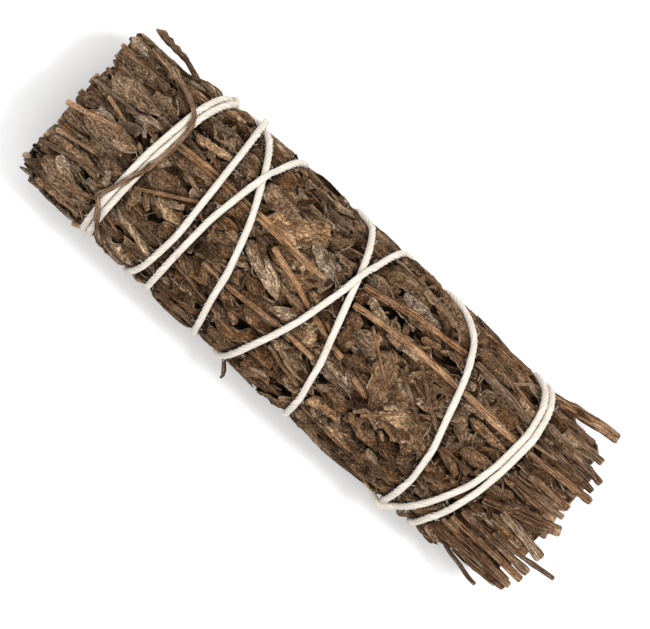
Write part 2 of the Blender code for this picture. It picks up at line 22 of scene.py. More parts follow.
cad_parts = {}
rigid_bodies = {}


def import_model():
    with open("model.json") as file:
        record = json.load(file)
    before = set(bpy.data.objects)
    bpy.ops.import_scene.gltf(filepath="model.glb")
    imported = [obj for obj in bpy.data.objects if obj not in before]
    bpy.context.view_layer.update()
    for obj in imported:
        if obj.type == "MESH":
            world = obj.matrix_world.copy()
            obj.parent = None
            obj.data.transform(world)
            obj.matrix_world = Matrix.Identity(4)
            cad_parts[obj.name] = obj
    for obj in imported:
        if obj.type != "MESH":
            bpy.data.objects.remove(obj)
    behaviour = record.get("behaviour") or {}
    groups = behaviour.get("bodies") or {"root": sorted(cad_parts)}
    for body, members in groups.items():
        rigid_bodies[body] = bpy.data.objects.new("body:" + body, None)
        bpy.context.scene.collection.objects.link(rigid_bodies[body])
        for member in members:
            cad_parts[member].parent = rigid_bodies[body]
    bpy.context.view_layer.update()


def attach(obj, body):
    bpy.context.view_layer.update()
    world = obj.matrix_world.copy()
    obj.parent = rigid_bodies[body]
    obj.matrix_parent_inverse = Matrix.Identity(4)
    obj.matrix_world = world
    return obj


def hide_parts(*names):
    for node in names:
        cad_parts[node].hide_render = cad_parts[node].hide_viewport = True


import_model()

LOG = logging.getLogger("sage_bunch")
MM = 0.001
TURN = 2 * math.pi
TINY = 1e-9

# Steps that spread places evenly: one for places in a row, and two for places on a sheet.
GOLDEN = 0.618034
SPREAD_ALONG = 0.7548776662
SPREAD_ROUND = 0.5698402910

# What sort of socket a plain value makes.
SOCKET_TYPES = {float: "Float", int: "Int", tuple: "Color"}

Pair = tuple[float, float]
Triple = tuple[float, float, float]
Array = np.ndarray
Mesh = bpy.types.Mesh
Object = bpy.types.Object
Tree = bpy.types.NodeTree
Inputs = Mapping[str | int, Any] | None
Ramp = tuple[tuple[float, Triple], ...]

# A stop on the bunch: (degrees from the top towards +Y, millimetres along, ...)
Stop = tuple[float, ...]

# The string's route: one list for each turn, as (degrees, millimetres along).
WINDING: tuple[tuple[Stop, ...], ...] = (
    ((140, -30.2), (128, -31.5), (110, -33.0), (90, -33.3), (45, -35.5), (0, -36.9), (-45, -37.2), (-90, -37.0),
     (-135, -36.6), (-180, -36.1), (-225, -35.2), (-250, -33.4)),
    ((90, -31.2), (45, -33.7), (0, -35.1), (-45, -35.4), (-90, -35.2), (-135, -34.8), (-180, -34.3),
     (-225, -33.6), (-252, -31.2)),
    ((90, -27.2), (74, -24.4), (35, -20.3), (10, -17.3), (-18, -14.9), (-62, -13.1), (-90, -12.7),
     (-120, -11.2), (-150, -10.2), (-180, -9.6), (-225, -8.4)),
    ((90, -6.0), (78, -3.0), (56, -1.2), (30, 0.9), (12, 2.3), (-22, 5.3), (-51, 6.6), (-90, 6.5),
     (-135, 7.0), (-180, 7.8), (-210, 8.6), (-240, 10.8)),
    ((90, 13.6), (78, 16.6), (54, 21.0), (28, 23.7), (5, 25.5), (-16, 27.3), (-40, 28.0), (-90, 26.9),
     (-135, 27.6), (-180, 28.5), (-210, 29.6), (-240, 32.8)),
    ((90, 34.6), (72, 36.2), (50, 37.6), (28, 38.3), (3, 37.9), (-17, 37.2), (-42, 35.6), (-61, 34.0),
     (-90, 32.6), (-135, 32.6), (-180, 32.4), (-225, 31.8)),
    ((90, 31.6), (72, 34.2), (50, 35.8), (28, 36.5), (3, 36.1), (-17, 35.1), (-42, 32.4), (-85, 27.6),
     (-100, 21.8), (-135, 18.2), (-180, 14.6), (-210, 12.4), (-240, 8.4)),
    ((90, 3.9), (50, 2.0), (30, 0.9), (15, 0.2), (-13, -1.6), (-48, -4.9), (-90, -7.6), (-120, -10.0),
     (-150, -12.0), (-180, -13.2), (-225, -15.2)),
    ((90, -17.4), (47, -19.9), (25, -21.2), (-3, -22.4), (-36, -22.8), (-80, -23.0), (-135, -23.3),
     (-180, -24.2), (-225, -25.2)),
    ((90, -26.5), (42, -25.7), (14, -25.2), (-23, -24.6), (-56, -25.4), (-90, -27.2), (-135, -27.9),
     (-180, -28.7), (-220, -30.2)),
)

# How far each turn is drawn along the bunch, in millimetres, so that the strands of the two ties touch.
SNUG = (0.32, -0.28, 0.0, 0.0, 0.0, -0.28, 0.32, 0.0, 0.0, 0.0)

# The string's two tails and its knot: (degrees, millimetres along, millimetres above the string's radius)
TAILS: tuple[tuple[Stop, ...], ...] = (
    ((140, -30.2, 1.2), (140, -32.2, 2.2), (139, -34.4, 2.4), (136, -36.6, 2.1), (134, -38.6, 0.9),
     (135, -40.4, 0.2)),
    ((140, -30.2, 1.2), (132, -28.9, 1.4), (124, -28.2, 1.1), (116, -28.2, 0.7), (110, -28.5, 0.3)),
)
KNOT: Stop = (140, -30.2, 0.9)

# The twig caught over the string: (degrees, millimetres along, millimetres above the string's radius)
BENT_TWIG: tuple[Stop, ...] = (
    (56, -47.0, 0.5), (53, -45.3, 0.8), (50, -42.0, 1.0), (46, -39.4, 1.35), (41, -36.6, 1.35),
    (36, -34.9, 1.15),
    (26, -34.1, 0.75), (12, -34.1, 0.75), (2, -34.5, 1.05), (-10, -35.4, 1.3), (-21, -36.5, 1.3),
    (-32, -37.7, 1.2), (-37, -38.1, 1.1), (-41, -37.0, 1.3), (-52, -35.4, 1.3), (-63, -34.0, 0.9),
    (-74, -32.9, 0.4),
)

# Stems that stand clear: name, then (tone, warmth, sides, joint height), then their stops as (degrees,
# millimetres along, millimetres above the string's radius, radius in millimetres).
STANDING: tuple[tuple[str, tuple[float, float, int, float], tuple[Stop, ...]], ...] = (
    ("long_stem", (0.46, 0.6, 14, 0.12), (
        (90, 16, -1.9, 0.65), (90, 24, -2.5, 0.75), (90, 30, -2.1, 0.8), (90, 34, -1.45, 0.84),
        (90, 37, -0.6, 0.92), (90, 39.5, -0.05, 0.94), (90, 42, 0.32, 0.92), (90, 44, 0.56, 0.95),
        (90, 46.2, 0.87, 0.9), (90, 48.0, 1.12, 0.86), (90, 48.3, 1.15, 0.7))),
    ("budded_twig", (0.38, 0.3, 10, 0.2), (
        (86, -34, -2.6, 0.4), (88, -39, -0.7, 0.46), (89, -42, 0.2, 0.42), (90, -42.9, 0.3, 0.58),
        (90, -43.7, 0.3, 0.44), (90, -44.5, 0.5, 0.62), (90, -45.3, 0.5, 0.46), (90, -46.1, 0.7, 0.68),
        (90, -46.9, 0.6, 0.48), (90, -47.6, 0.8, 0.66), (90, -48.3, 0.7, 0.44), (90, -49.0, 0.7, 0.2))),
    ("separate_twig", (0.28, 0.3, 8, 0.05), (
        (-88, 36.0, -1.6, 0.34), (-89, 40.2, -0.5, 0.36), (-90, 46.7, 0.6, 0.36))),
    ("tan_tip", (0.85, 0.9, 10, 0.1), (
        (-79, -32.5, -1.8, 0.42), (-85, -35.5, -0.5, 0.45), (-90, -38.5, 0.5, 0.45))),
    ("curled_bit", (0.35, 0.6, 8, 0.1), (
        (-86, -7.6, -1.4, 0.2), (-88, -6.6, -0.2, 0.28), (-90, -5.9, 0.7, 0.36), (-91, -5.3, 1.4, 0.4),
        (-91, -4.9, 2.1, 0.3), (-90, -4.9, 2.7, 0.16))),
)


class LeafKind(Enum):
    """How a dried blade has shrunk."""

    OPEN = "open"
    FOLDED = "folded"
    ROLLED = "rolled"
    CRUMPLED = "crumpled"
    RIBBED = "ribbed"


# Stems that show in the outside: (tone, warmth, radius in mm), then their stops as (mm along, degrees).
SHOWN_STEMS: tuple[tuple[Triple, tuple[Pair, ...]], ...] = (
    ((0.47, 0.3, 0.31), ((-48.8, 33), (-36.3, 28), (-29.2, 23))),
    ((0.82, 0.9, 0.36), ((-34.1, 19.8), (-25.5, 20.8), (-18.3, 19.7), (-2.7, 16.6))),
    ((0.70, 0.9, 0.38), ((-34.1, 16.6), (-25.5, 17.6), (-18.3, 16.8), (-4.7, 14.4))),
    ((0.72, 0.9, 0.49), ((-12.2, 10), (-2.0, -2), (4.1, -10), (7.3, -12))),
    ((0.81, 0.9, 0.40), ((-34.6, -20), (-24.9, 2))),
    ((0.59, 0.7, 0.55), ((-18.9, -26), (-11.3, -26), (-3.8, -24))),
    ((0.85, 0.9, 0.49), ((-4.6, -24), (4.0, -24))),
    ((0.77, 0.8, 0.58), ((3.0, 17), (11.7, 21), (23.7, 22), (32.7, 21), (36.3, 21))),
    ((0.54, 0.8, 0.67), ((2.2, 30), (12.0, 38), (21.8, 43))),
    ((0.45, 0.2, 0.76), ((23.3, 43), (36.1, 39))),
    ((0.59, 0.6, 0.36), ((23.1, 61), (35.1, 49))),
    ((0.54, 0.7, 0.49), ((-2.6, -38), (5.0, -47))),
    ((0.45, 0.2, 0.43), ((6.0, -25), (11.8, -25))),
    ((0.63, 0.8, 0.49), ((10.5, -16), (14.2, -21))),
    ((0.59, 0.4, 0.33), ((15.2, 7), (22.5, -9))),
    ((0.54, 0.5, 0.43), ((17.2, 17), (26.6, -9))),
    ((0.59, 0.8, 0.43), ((18.4, -25), (22.1, -29))),
    ((0.30, 0.6, 0.72), ((34.7, -68), (50.2, -70))),
    ((0.27, 0.6, 0.58), ((34.9, -62), (50.6, -60))),
    ((0.34, 0.6, 0.58), ((35.6, -53), (49.8, -56.5))),
    ((0.47, 0.6, 0.64), ((36.5, -45), (51.2, -47))),
    ((0.32, 0.4, 0.60), ((37.2, -36), (51.2, -38))),
    ((0.50, 0.2, 0.78), ((41.8, -18), (46.0, -20), (51.1, -24))),
    ((0.38, 0.2, 0.40), ((43.0, -33), (47.7, -33), (54.8, -28))),
    ((0.26, 0.5, 0.86), ((38.3, -20), (44.0, -12), (50.6, -2))),
    ((0.46, 0.5, 0.60), ((41.1, 10), (49.2, 12))),
    ((0.38, 0.3, 0.48), ((37.5, 2), (49.4, 6))),
    ((0.44, 0.6, 0.58), ((38.6, 22), (51.1, 25))),
    ((0.30, 0.4, 0.55), ((37.8, 34), (50.2, 31))),
    ((0.38, 0.3, 0.60), ((38.4, 48), (50.4, 40))),
    ((0.42, 0.3, 0.64), ((41.0, 57), (48.6, 56))),
    ((0.38, 0.3, 0.54), ((36.5, 68), (45.6, 67))),
    ((0.38, 0.2, 0.29), ((-49.9, -12), (-37.6, -16))),
    ((0.47, 0.1, 0.29), ((-50.3, 14), (-41.7, 16))),
    ((0.68, 0.7, 0.47), ((-51.4, -8), (-42.0, 2))),
    ((0.64, 0.7, 0.31), ((-47.1, 12), (-41.8, 7))),
    ((0.38, 0.3, 0.36), ((-50.8, -40), (-39.3, -27))),
    ((0.63, 0.7, 0.37), ((-43.7, -58), (-37.1, -42))),
    ((0.59, 0.5, 0.44), ((-51.2, -62), (-40.0, -68))),
    ((0.59, 0.6, 0.36), ((-49.8, -26), (-42.5, -20))),
    ((0.51, 0.4, 0.36), ((-50.2, 43), (-41.0, 47))),
    ((0.47, 0.4, 0.42), ((-50.4, 62), (-40.0, 60))),
    ((0.72, 0.8, 0.46), ((-38.2, -88), (-33.0, -79))),
    ((0.54, 0.6, 0.36), ((-29.5, 8), (-19.5, -1))),
    ((0.50, 0.6, 0.40), ((-23.0, -40), (-12.0, -47))),
    ((0.45, 0.3, 0.43), ((-9.5, 60), (3.0, 57))),
    ((0.63, 0.8, 0.49), ((-5.0, 77), (12.0, 80))),
    ((0.50, 0.6, 0.52), ((18.0, 74), (33.0, 70))),
    ((0.54, 0.8, 0.49), ((5.5, -58), (22.0, -66))),
    ((0.50, 0.7, 0.43), ((-30.0, -60), (-15.0, -66))),
)

# Large leaves of the upper side: kind, (tone, warmth), then millimetres along, degrees, yaw, length and width.
SHOWN_LEAVES: tuple[tuple[LeafKind, Pair, tuple[float, float, float, float, float]], ...] = (
    (LeafKind.OPEN, (0.72, 0.8), (-11.4, 28, 32, 11.0, 5.6)),
    (LeafKind.RIBBED, (0.93, 0.55), (-10.9, -3, -22, 10.3, 4.4)),
    (LeafKind.OPEN, (0.84, 0.1), (-3.7, 24, -16, 8.5, 3.0)),
    (LeafKind.ROLLED, (0.55, 0.1), (-11.1, 69, -5, 10.5, 3.0)),
    (LeafKind.ROLLED, (0.60, 0.2), (-10.9, 48, -8, 9.0, 2.6)),
    (LeafKind.CRUMPLED, (0.65, 0.4), (-16.1, 35, 12, 6.5, 4.0)),
    (LeafKind.OPEN, (0.90, 0.85), (-29.6, 33, 7, 6.6, 2.3)),
    (LeafKind.FOLDED, (0.65, 0.15), (-30.2, 51, 1, 8.5, 2.4)),
    (LeafKind.OPEN, (0.50, 0.8), (-18.9, -34, -3, 6.0, 4.0)),
    (LeafKind.OPEN, (0.55, 0.3), (13.2, 61, -20, 8.7, 3.2)),
    (LeafKind.OPEN, (0.60, 0.3), (6.7, 67, -8, 6.0, 3.4)),
    (LeafKind.CRUMPLED, (0.75, 0.1), (11.9, 44, 0, 8.0, 2.6)),
    (LeafKind.OPEN, (0.52, 0.5), (14.1, -5, -68, 10.5, 4.4)),
    (LeafKind.FOLDED, (0.30, 0.5), (9.4, -9, 17, 6.5, 3.2)),
    (LeafKind.CRUMPLED, (0.75, 0.8), (10.4, -48, 12, 6.0, 3.4)),
    (LeafKind.CRUMPLED, (0.50, 0.6), (17.4, -39, -18, 7.5, 4.0)),
    (LeafKind.CRUMPLED, (0.60, 0.6), (33.4, -4, 17, 5.6, 3.0)),
    (LeafKind.FOLDED, (0.60, 0.6), (30.1, -16, -28, 6.0, 3.4)),
    (LeafKind.CRUMPLED, (0.55, 0.5), (24.9, -17, -38, 6.0, 2.9)),
    (LeafKind.FOLDED, (0.75, 0.7), (32.1, 13, 2, 7.7, 2.7)),
    (LeafKind.OPEN, (0.35, 0.8), (32.1, 29, -3, 5.0, 3.0)),
    (LeafKind.OPEN, (0.55, 0.6), (-5.2, 6, 48, 5.5, 3.6)),
    (LeafKind.OPEN, (0.45, 0.5), (-24.5, -25, 10, 6.5, 3.4)),
    (LeafKind.OPEN, (0.62, 0.25), (-43.8, 24, 4, 9.5, 4.0)),
    (LeafKind.OPEN, (0.70, 0.5), (-44.0, 63, -10, 6.5, 3.4)),
    (LeafKind.FOLDED, (0.55, 0.25), (-45.0, 44, 6, 8.0, 3.6)),
    (LeafKind.OPEN, (0.60, 0.3), (-43.0, -4, 8, 10.0, 4.6)),
    (LeafKind.FOLDED, (0.55, 0.35), (-44.8, -31, 2, 10.0, 4.0)),
    (LeafKind.OPEN, (0.60, 0.3), (-43.8, -50, -4, 9.5, 4.2)),
    (LeafKind.OPEN, (0.55, 0.45), (-43.0, -73, 5, 9.0, 3.8)),
)


# ---- small helpers ----


def soft_wave(seed: float, *at: Array | float) -> Array:
    """A soft wave of sines between about -1 and 1.

    Args:
        seed: Chooses the wave.
        at: The place, one array or number for each direction, in wavelengths.

    Returns:
        The wave's height at each place.
    """
    total: Any = 0.0
    for step in range(1, 5):
        phase = sum(a * (2.1 + 1.3 * math.sin(seed * 1.7 + 3.1 * i + 2.3 * step)) for i, a in enumerate(at))
        total = total + np.sin(phase * (0.6 + 0.45 * step) + seed * (1.3 + step))
    return np.asarray(total) / 2.6


def bell(distance: Array | float, width: float) -> Array:
    """A bell curve: 1 at no distance, and nearly 0 at twice the width."""
    return np.exp(-((distance / width) ** 2))


def smoothed(values: Array, width: int, **edge: str) -> Array:
    """A row of values, each made the weighted mean of its neighbours.

    Args:
        values: The row.
        width: How many neighbours a mean takes in, an odd number.
        edge: How np.pad carries the row on past its ends; level unless given.

    Returns:
        The smoothed row.
    """
    kernel = np.hanning(width)
    padded = np.pad(values, width // 2, **(edge or {"mode": "edge"}))
    return np.convolve(padded, kernel / kernel.sum(), mode="valid")


def distances(line: Array) -> Array:
    """How far along a line each of its points lies."""
    return np.concatenate([[0], np.cumsum(np.linalg.norm(np.diff(line, axis=0), axis=1))])


def drawn_through(stops: Sequence[Stop], finer: int, near_end: float = 0.0) -> list[Array]:
    """The columns of a table of stops, with the rows between them filled in.

    Args:
        stops: The table.
        finer: How many rows each stop becomes.
        near_end: How far before the last stop one more row lies, as a share of a stop.

    Returns:
        The columns.
    """
    table = np.array(stops, float)
    last = len(table) - 1
    at = np.linspace(0, last, finer * len(table))
    if near_end:
        at = np.sort(np.append(at, last - near_end))
    return [np.interp(at, np.arange(last + 1), column) for column in table.T]


def turned(roll: float, pitch: float, yaw: float) -> Array:
    """The rotation matrix of an Euler XYZ turn, as Geometry Nodes reads it.

    Args:
        roll: The turn about X.
        pitch: The turn about Y.
        yaw: The turn about Z.

    Returns:
        The matrix, three by three.
    """
    cx, sx, cy, sy, cz, sz = (f(a) for a in (roll, pitch, yaw) for f in (math.cos, math.sin))
    about_x = np.array(((1, 0, 0), (0, cx, -sx), (0, sx, cx)))
    about_y = np.array(((cy, 0, sy), (0, 1, 0), (-sy, 0, cy)))
    about_z = np.array(((cz, -sz, 0), (sz, cz, 0), (0, 0, 1)))
    return about_z @ about_y @ about_x


def grid_faces(rows: int, columns: int, first: int = 0, closed: bool = False) -> list[tuple[int, ...]]:
    """The quads of a grid of points that are numbered row by row.

    Args:
        rows: How many rows of points there are.
        columns: How many points a row has.
        first: The number of the first point.
        closed: Whether each row runs round, back to its first point.

    Returns:
        The quads.
    """
    faces = []
    for i in range(rows - 1):
        a = first + i * columns
        b = a + columns
        for j in range(columns if closed else columns - 1):
            k = (j + 1) % columns
            faces.append((a + j, b + j, b + k, a + k))
    return faces


def new_mesh(name: str, points: Any, edges: Sequence[Any] = (), faces: Sequence[Any] = ()) -> Mesh:
    """A mesh of these points, edges and faces."""
    mesh = bpy.data.meshes.new(name)
    mesh.from_pydata(np.asarray(points, float).reshape(-1, 3).tolist(), edges, faces)
    return mesh


def store(mesh: Mesh, name: str, values: Any, kind: str = "FLOAT") -> None:
    """Writes one value for each vertex.

    Args:
        mesh: The mesh that is given the attribute.
        name: The attribute's name.
        values: One number for all vertices, or one number or row of three for each.
        kind: The attribute's type: FLOAT, INT or FLOAT_VECTOR.
    """
    if isinstance(values, float):
        values = np.full(len(mesh.vertices), values)
    attribute = mesh.attributes.get(name) or mesh.attributes.new(name, kind, "POINT")
    flat = np.ascontiguousarray(values, np.int32 if kind == "INT" else np.float32).ravel()
    attribute.data.foreach_set("vector" if kind == "FLOAT_VECTOR" else "value", flat)


def stored(mesh: Mesh, name: str) -> Array:
    """The numbers of a vertex attribute."""
    values = np.zeros(len(mesh.vertices), np.float32)
    mesh.attributes[name].data.foreach_get("value", values)
    return values


def places(mesh: Mesh) -> Array:
    """The mesh's vertices, one row each."""
    values = np.zeros(len(mesh.vertices) * 3, np.float32)
    mesh.vertices.foreach_get("co", values)
    return values.reshape(-1, 3).astype(float)


def move_to(mesh: Mesh, points: Array) -> None:
    """Puts the mesh's vertices at these points."""
    mesh.vertices.foreach_set("co", np.ascontiguousarray(points, np.float32).ravel())
    mesh.update()


def keep_above(mesh: Mesh, height: float) -> Array:
    """Lifts the vertices that lie lower than a height.

    Args:
        mesh: The mesh.
        height: The height.

    Returns:
        All the mesh's vertices, one row each.
    """
    points = places(mesh)
    points[:, 2] = np.maximum(points[:, 2], height)
    move_to(mesh, points)
    return points


def face_outwards(mesh: Mesh, crease: float = 0.0) -> None:
    """Turns a closed mesh's faces outwards, and splits those with more than four corners.

    Args:
        mesh: The mesh.
        crease: The angle from which an edge is marked sharp, or 0 for no marks.
    """
    body = bmesh.new()
    body.from_mesh(mesh)
    bmesh.ops.recalc_face_normals(body, faces=body.faces)
    if body.calc_volume(signed=True) < 0:
        bmesh.ops.reverse_faces(body, faces=body.faces)
    bmesh.ops.triangulate(body, faces=[face for face in body.faces if len(face.verts) > 4])
    for edge in body.edges if crease else ():
        edge.smooth = edge.calc_face_angle(0.0) < crease
    body.to_mesh(mesh)
    body.free()


def shown(name: str, mesh: Mesh) -> Object:
    """The object that shows a mesh, linked to the scene."""
    obj = bpy.data.objects.new(name, mesh)
    bpy.context.scene.collection.objects.link(obj)
    return obj


def finished(name: str, meshes: Sequence[Mesh], node: str) -> Object:
    """Joins meshes into one piece, which rides on the bunch's one body.

    Args:
        name: The piece's name.
        meshes: Its meshes; empty ones are left out.
        node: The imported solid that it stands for.

    Returns:
        The piece, at the origin.
    """
    objects = [shown(name, mesh) for mesh in meshes if len(mesh.vertices)]
    piece = objects[0]
    with bpy.context.temp_override(active_object=piece, object=piece, selected_objects=objects,
                                   selected_editable_objects=objects):
        bpy.ops.object.join()
    piece.name = piece.data.name = name
    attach(piece, "root")
    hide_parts(node)
    return piece


# ---- node trees ----


class Value:
    """A node's output, which can be reckoned with as a number can."""

    def __init__(self, graph: "Graph", socket: bpy.types.NodeSocket) -> None:
        """Holds an output and the graph that it is in."""
        self.graph = graph
        self.socket = socket

    def __add__(self, other: Any) -> "Value":
        """The sum."""
        return self.graph.maths("ADD", self, other)

    def __sub__(self, other: Any) -> "Value":
        """What is left when something is taken from it."""
        return self.graph.maths("SUBTRACT", self, other)

    def __rsub__(self, other: Any) -> "Value":
        """What is left when it is taken from something."""
        return self.graph.maths("SUBTRACT", other, self)

    def __mul__(self, other: Any) -> "Value":
        """The product."""
        return self.graph.maths("MULTIPLY", self, other)

    def __truediv__(self, other: Any) -> "Value":
        """The quotient."""
        return self.graph.maths("DIVIDE", self, other)


class Graph:
    """A node tree that is being built."""

    def __init__(self, tree: Tree) -> None:
        """Starts on an existing tree."""
        self.tree = tree

    @classmethod
    def group(cls, name: str, kind: str, inputs: Mapping[str, Any], outputs: Sequence[str]) -> "Graph":
        """A new node group with named sockets.

        Args:
            name: The group's name.
            kind: Shader or Geometry.
            inputs: Each input's name, with its value or its type.
            outputs: Each output's name and type, with a colon between.

        Returns:
            The graph. Its inputs are in given, and its output node is result.
        """
        tree = bpy.data.node_groups.new(name, kind + "NodeTree")
        for label, value in inputs.items():
            typed = isinstance(value, str)
            socket = tree.interface.new_socket(label, in_out="INPUT", socket_type="NodeSocket" + (
                value if typed else SOCKET_TYPES[type(value)]))
            if not typed:
                socket.default_value = value
        for label, socket_type in (output.split(":") for output in outputs):
            tree.interface.new_socket(label, in_out="OUTPUT", socket_type="NodeSocket" + socket_type)
        graph = cls(tree)
        graph.given = dict(zip(inputs, graph.outs("NodeGroupInput")))
        graph.result = graph.node("NodeGroupOutput")
        return graph

    def node(self, kind: str, inputs: Inputs = None, **settings: Any) -> bpy.types.Node:
        """Adds a node.

        Args:
            kind: The node's type name.
            inputs: What goes into each input, by name or number.
            settings: The node's own settings.

        Returns:
            The node.
        """
        node = self.tree.nodes.new(kind)
        for key, value in settings.items():
            setattr(node, key, value)
        for key, value in (inputs or {}).items():
            self.feed(node.inputs[key], value)
        return node

    def outs(self, kind: str, inputs: Inputs = None, **settings: Any) -> list[Value]:
        """All the outputs of a new node."""
        return [Value(self, socket) for socket in self.node(kind, inputs, **settings).outputs]

    def out(self, kind: str, inputs: Inputs = None, output: int | str = 0, **settings: Any) -> Value:
        """One output of a new node."""
        return Value(self, self.node(kind, inputs, **settings).outputs[output])

    def feed(self, socket: bpy.types.NodeSocket, value: Any) -> None:
        """Links a node's output into a socket, or sets the socket's own value.

        Args:
            socket: The input socket.
            value: A Value to link, a plain value to set, or None to leave the socket as it is.
        """
        if isinstance(value, Value):
            self.tree.links.new(value.socket, socket)
        elif value is not None:
            socket.default_value = value

    def maths(self, operation: str, a: Any, b: Any = None, clamp: bool = False) -> Value:
        """The result of a Math node."""
        return self.out("ShaderNodeMath", {0: a, 1: b}, operation=operation, use_clamp=clamp)

    def vector(self, operation: str, a: Any, b: Any = None, output: int | str = 0) -> Value:
        """The result of a Vector Math node."""
        return self.out("ShaderNodeVectorMath", {0: a, 1: b}, output, operation=operation)

    def scaled(self, vector: Any, by: Any) -> Value:
        """A vector or colour times a number."""
        return self.out("ShaderNodeVectorMath", {0: vector, "Scale": by}, operation="SCALE")

    def combined(self, x: Any, y: Any, z: Any) -> Value:
        """A vector of three numbers."""
        return self.out("ShaderNodeCombineXYZ", {0: x, 1: y, 2: z})

    def parts(self, vector: Value) -> list[Value]:
        """The three numbers of a vector."""
        return self.outs("ShaderNodeSeparateXYZ", {0: vector})

    def mixed(self, share: Any, a: Any, b: Any) -> Value:
        """Two colours mixed by a share."""
        return self.out("ShaderNodeMix", {0: share, 6: a, 7: b}, 2, data_type="RGBA")

    def between(self, value: Any, low: float, high: float, to_low: float = 0.0, to_high: float = 1.0) -> Value:
        """A value carried smoothly from one range to another, and held at its ends."""
        return self.out("ShaderNodeMapRange", {0: value, 1: low, 2: high, 3: to_low, 4: to_high},
                        interpolation_type="SMOOTHSTEP")

    def grain(self, at: Any, scale: float, detail: float = 3.0, roughness: float = 0.55,
              bend: float = 0.0) -> Value:
        """A noise value between 0 and 1."""
        return self.out("ShaderNodeTexNoise", {"Vector": at, "Scale": scale, "Detail": detail,
                                               "Roughness": roughness, "Distortion": bend})

    def ramp(self, value: Value, stops: Ramp) -> Value:
        """A colour read off a ramp.

        Args:
            value: The place on the ramp.
            stops: Each stop's place and colour.

        Returns:
            The colour.
        """
        node = self.node("ShaderNodeValToRGB", {0: value})
        elements = node.color_ramp.elements
        while len(elements) < len(stops):
            elements.new(0.5)
        for element, (position, colour) in zip(elements, stops):
            element.position = position
            element.color = (*colour, 1.0)
        return Value(self, node.outputs[0])

    def place(self) -> Value:
        """The place on the piece, in millimetres."""
        return self.scaled(self.out("ShaderNodeTexCoord", output="Object"), 1 / MM)

    def read(self, name: str, output: str = "Fac") -> Value:
        """The piece's own attribute, in a material."""
        return self.out("ShaderNodeAttribute", output=output, attribute_name=name, attribute_type="GEOMETRY")

    def named(self, name: str, data_type: str = "FLOAT") -> Value:
        """A named attribute, in a Geometry Nodes tree."""
        return self.out("GeometryNodeInputNamedAttribute", {"Name": name}, data_type=data_type)

    def keep_as(self, geometry: Value, name: str, value: Value, data_type: str = "FLOAT") -> Value:
        """The geometry with one more named attribute on its points."""
        return self.out("GeometryNodeStoreNamedAttribute", {"Geometry": geometry, "Name": name, "Value": value},
                        data_type=data_type, domain="POINT")

    def finish(self, geometry: Value) -> Tree:
        """The tree, ended with real geometry that has its finish."""
        real = self.out("GeometryNodeRealizeInstances", {0: geometry})
        done = self.out("GeometryNodeSetMaterial", {"Geometry": real, "Material": self.given["Finish"]})
        self.feed(self.result.inputs[0], done)
        return self.tree


def shaped(source: Object, tree: Tree, values: Mapping[str, Any]) -> Mesh:
    """The plain mesh that a Geometry Nodes tree makes of an object, which is then removed.

    Args:
        source: The object that holds the points or paths.
        tree: The tree.
        values: The tree's inputs by name.

    Returns:
        The finished mesh.
    """
    modifier = source.modifiers.new("shape", "NODES")
    modifier.node_group = tree
    for item in tree.interface.items_tree:
        if item.in_out == "INPUT" and item.name in values:
            modifier[item.identifier] = values[item.name]
    bpy.context.view_layer.update()
    mesh = bpy.data.meshes.new_from_object(source.evaluated_get(bpy.context.evaluated_depsgraph_get()))
    source.modifiers.remove(modifier)
    bpy.data.objects.remove(source)
    return mesh


# ---- the bunch's form ----


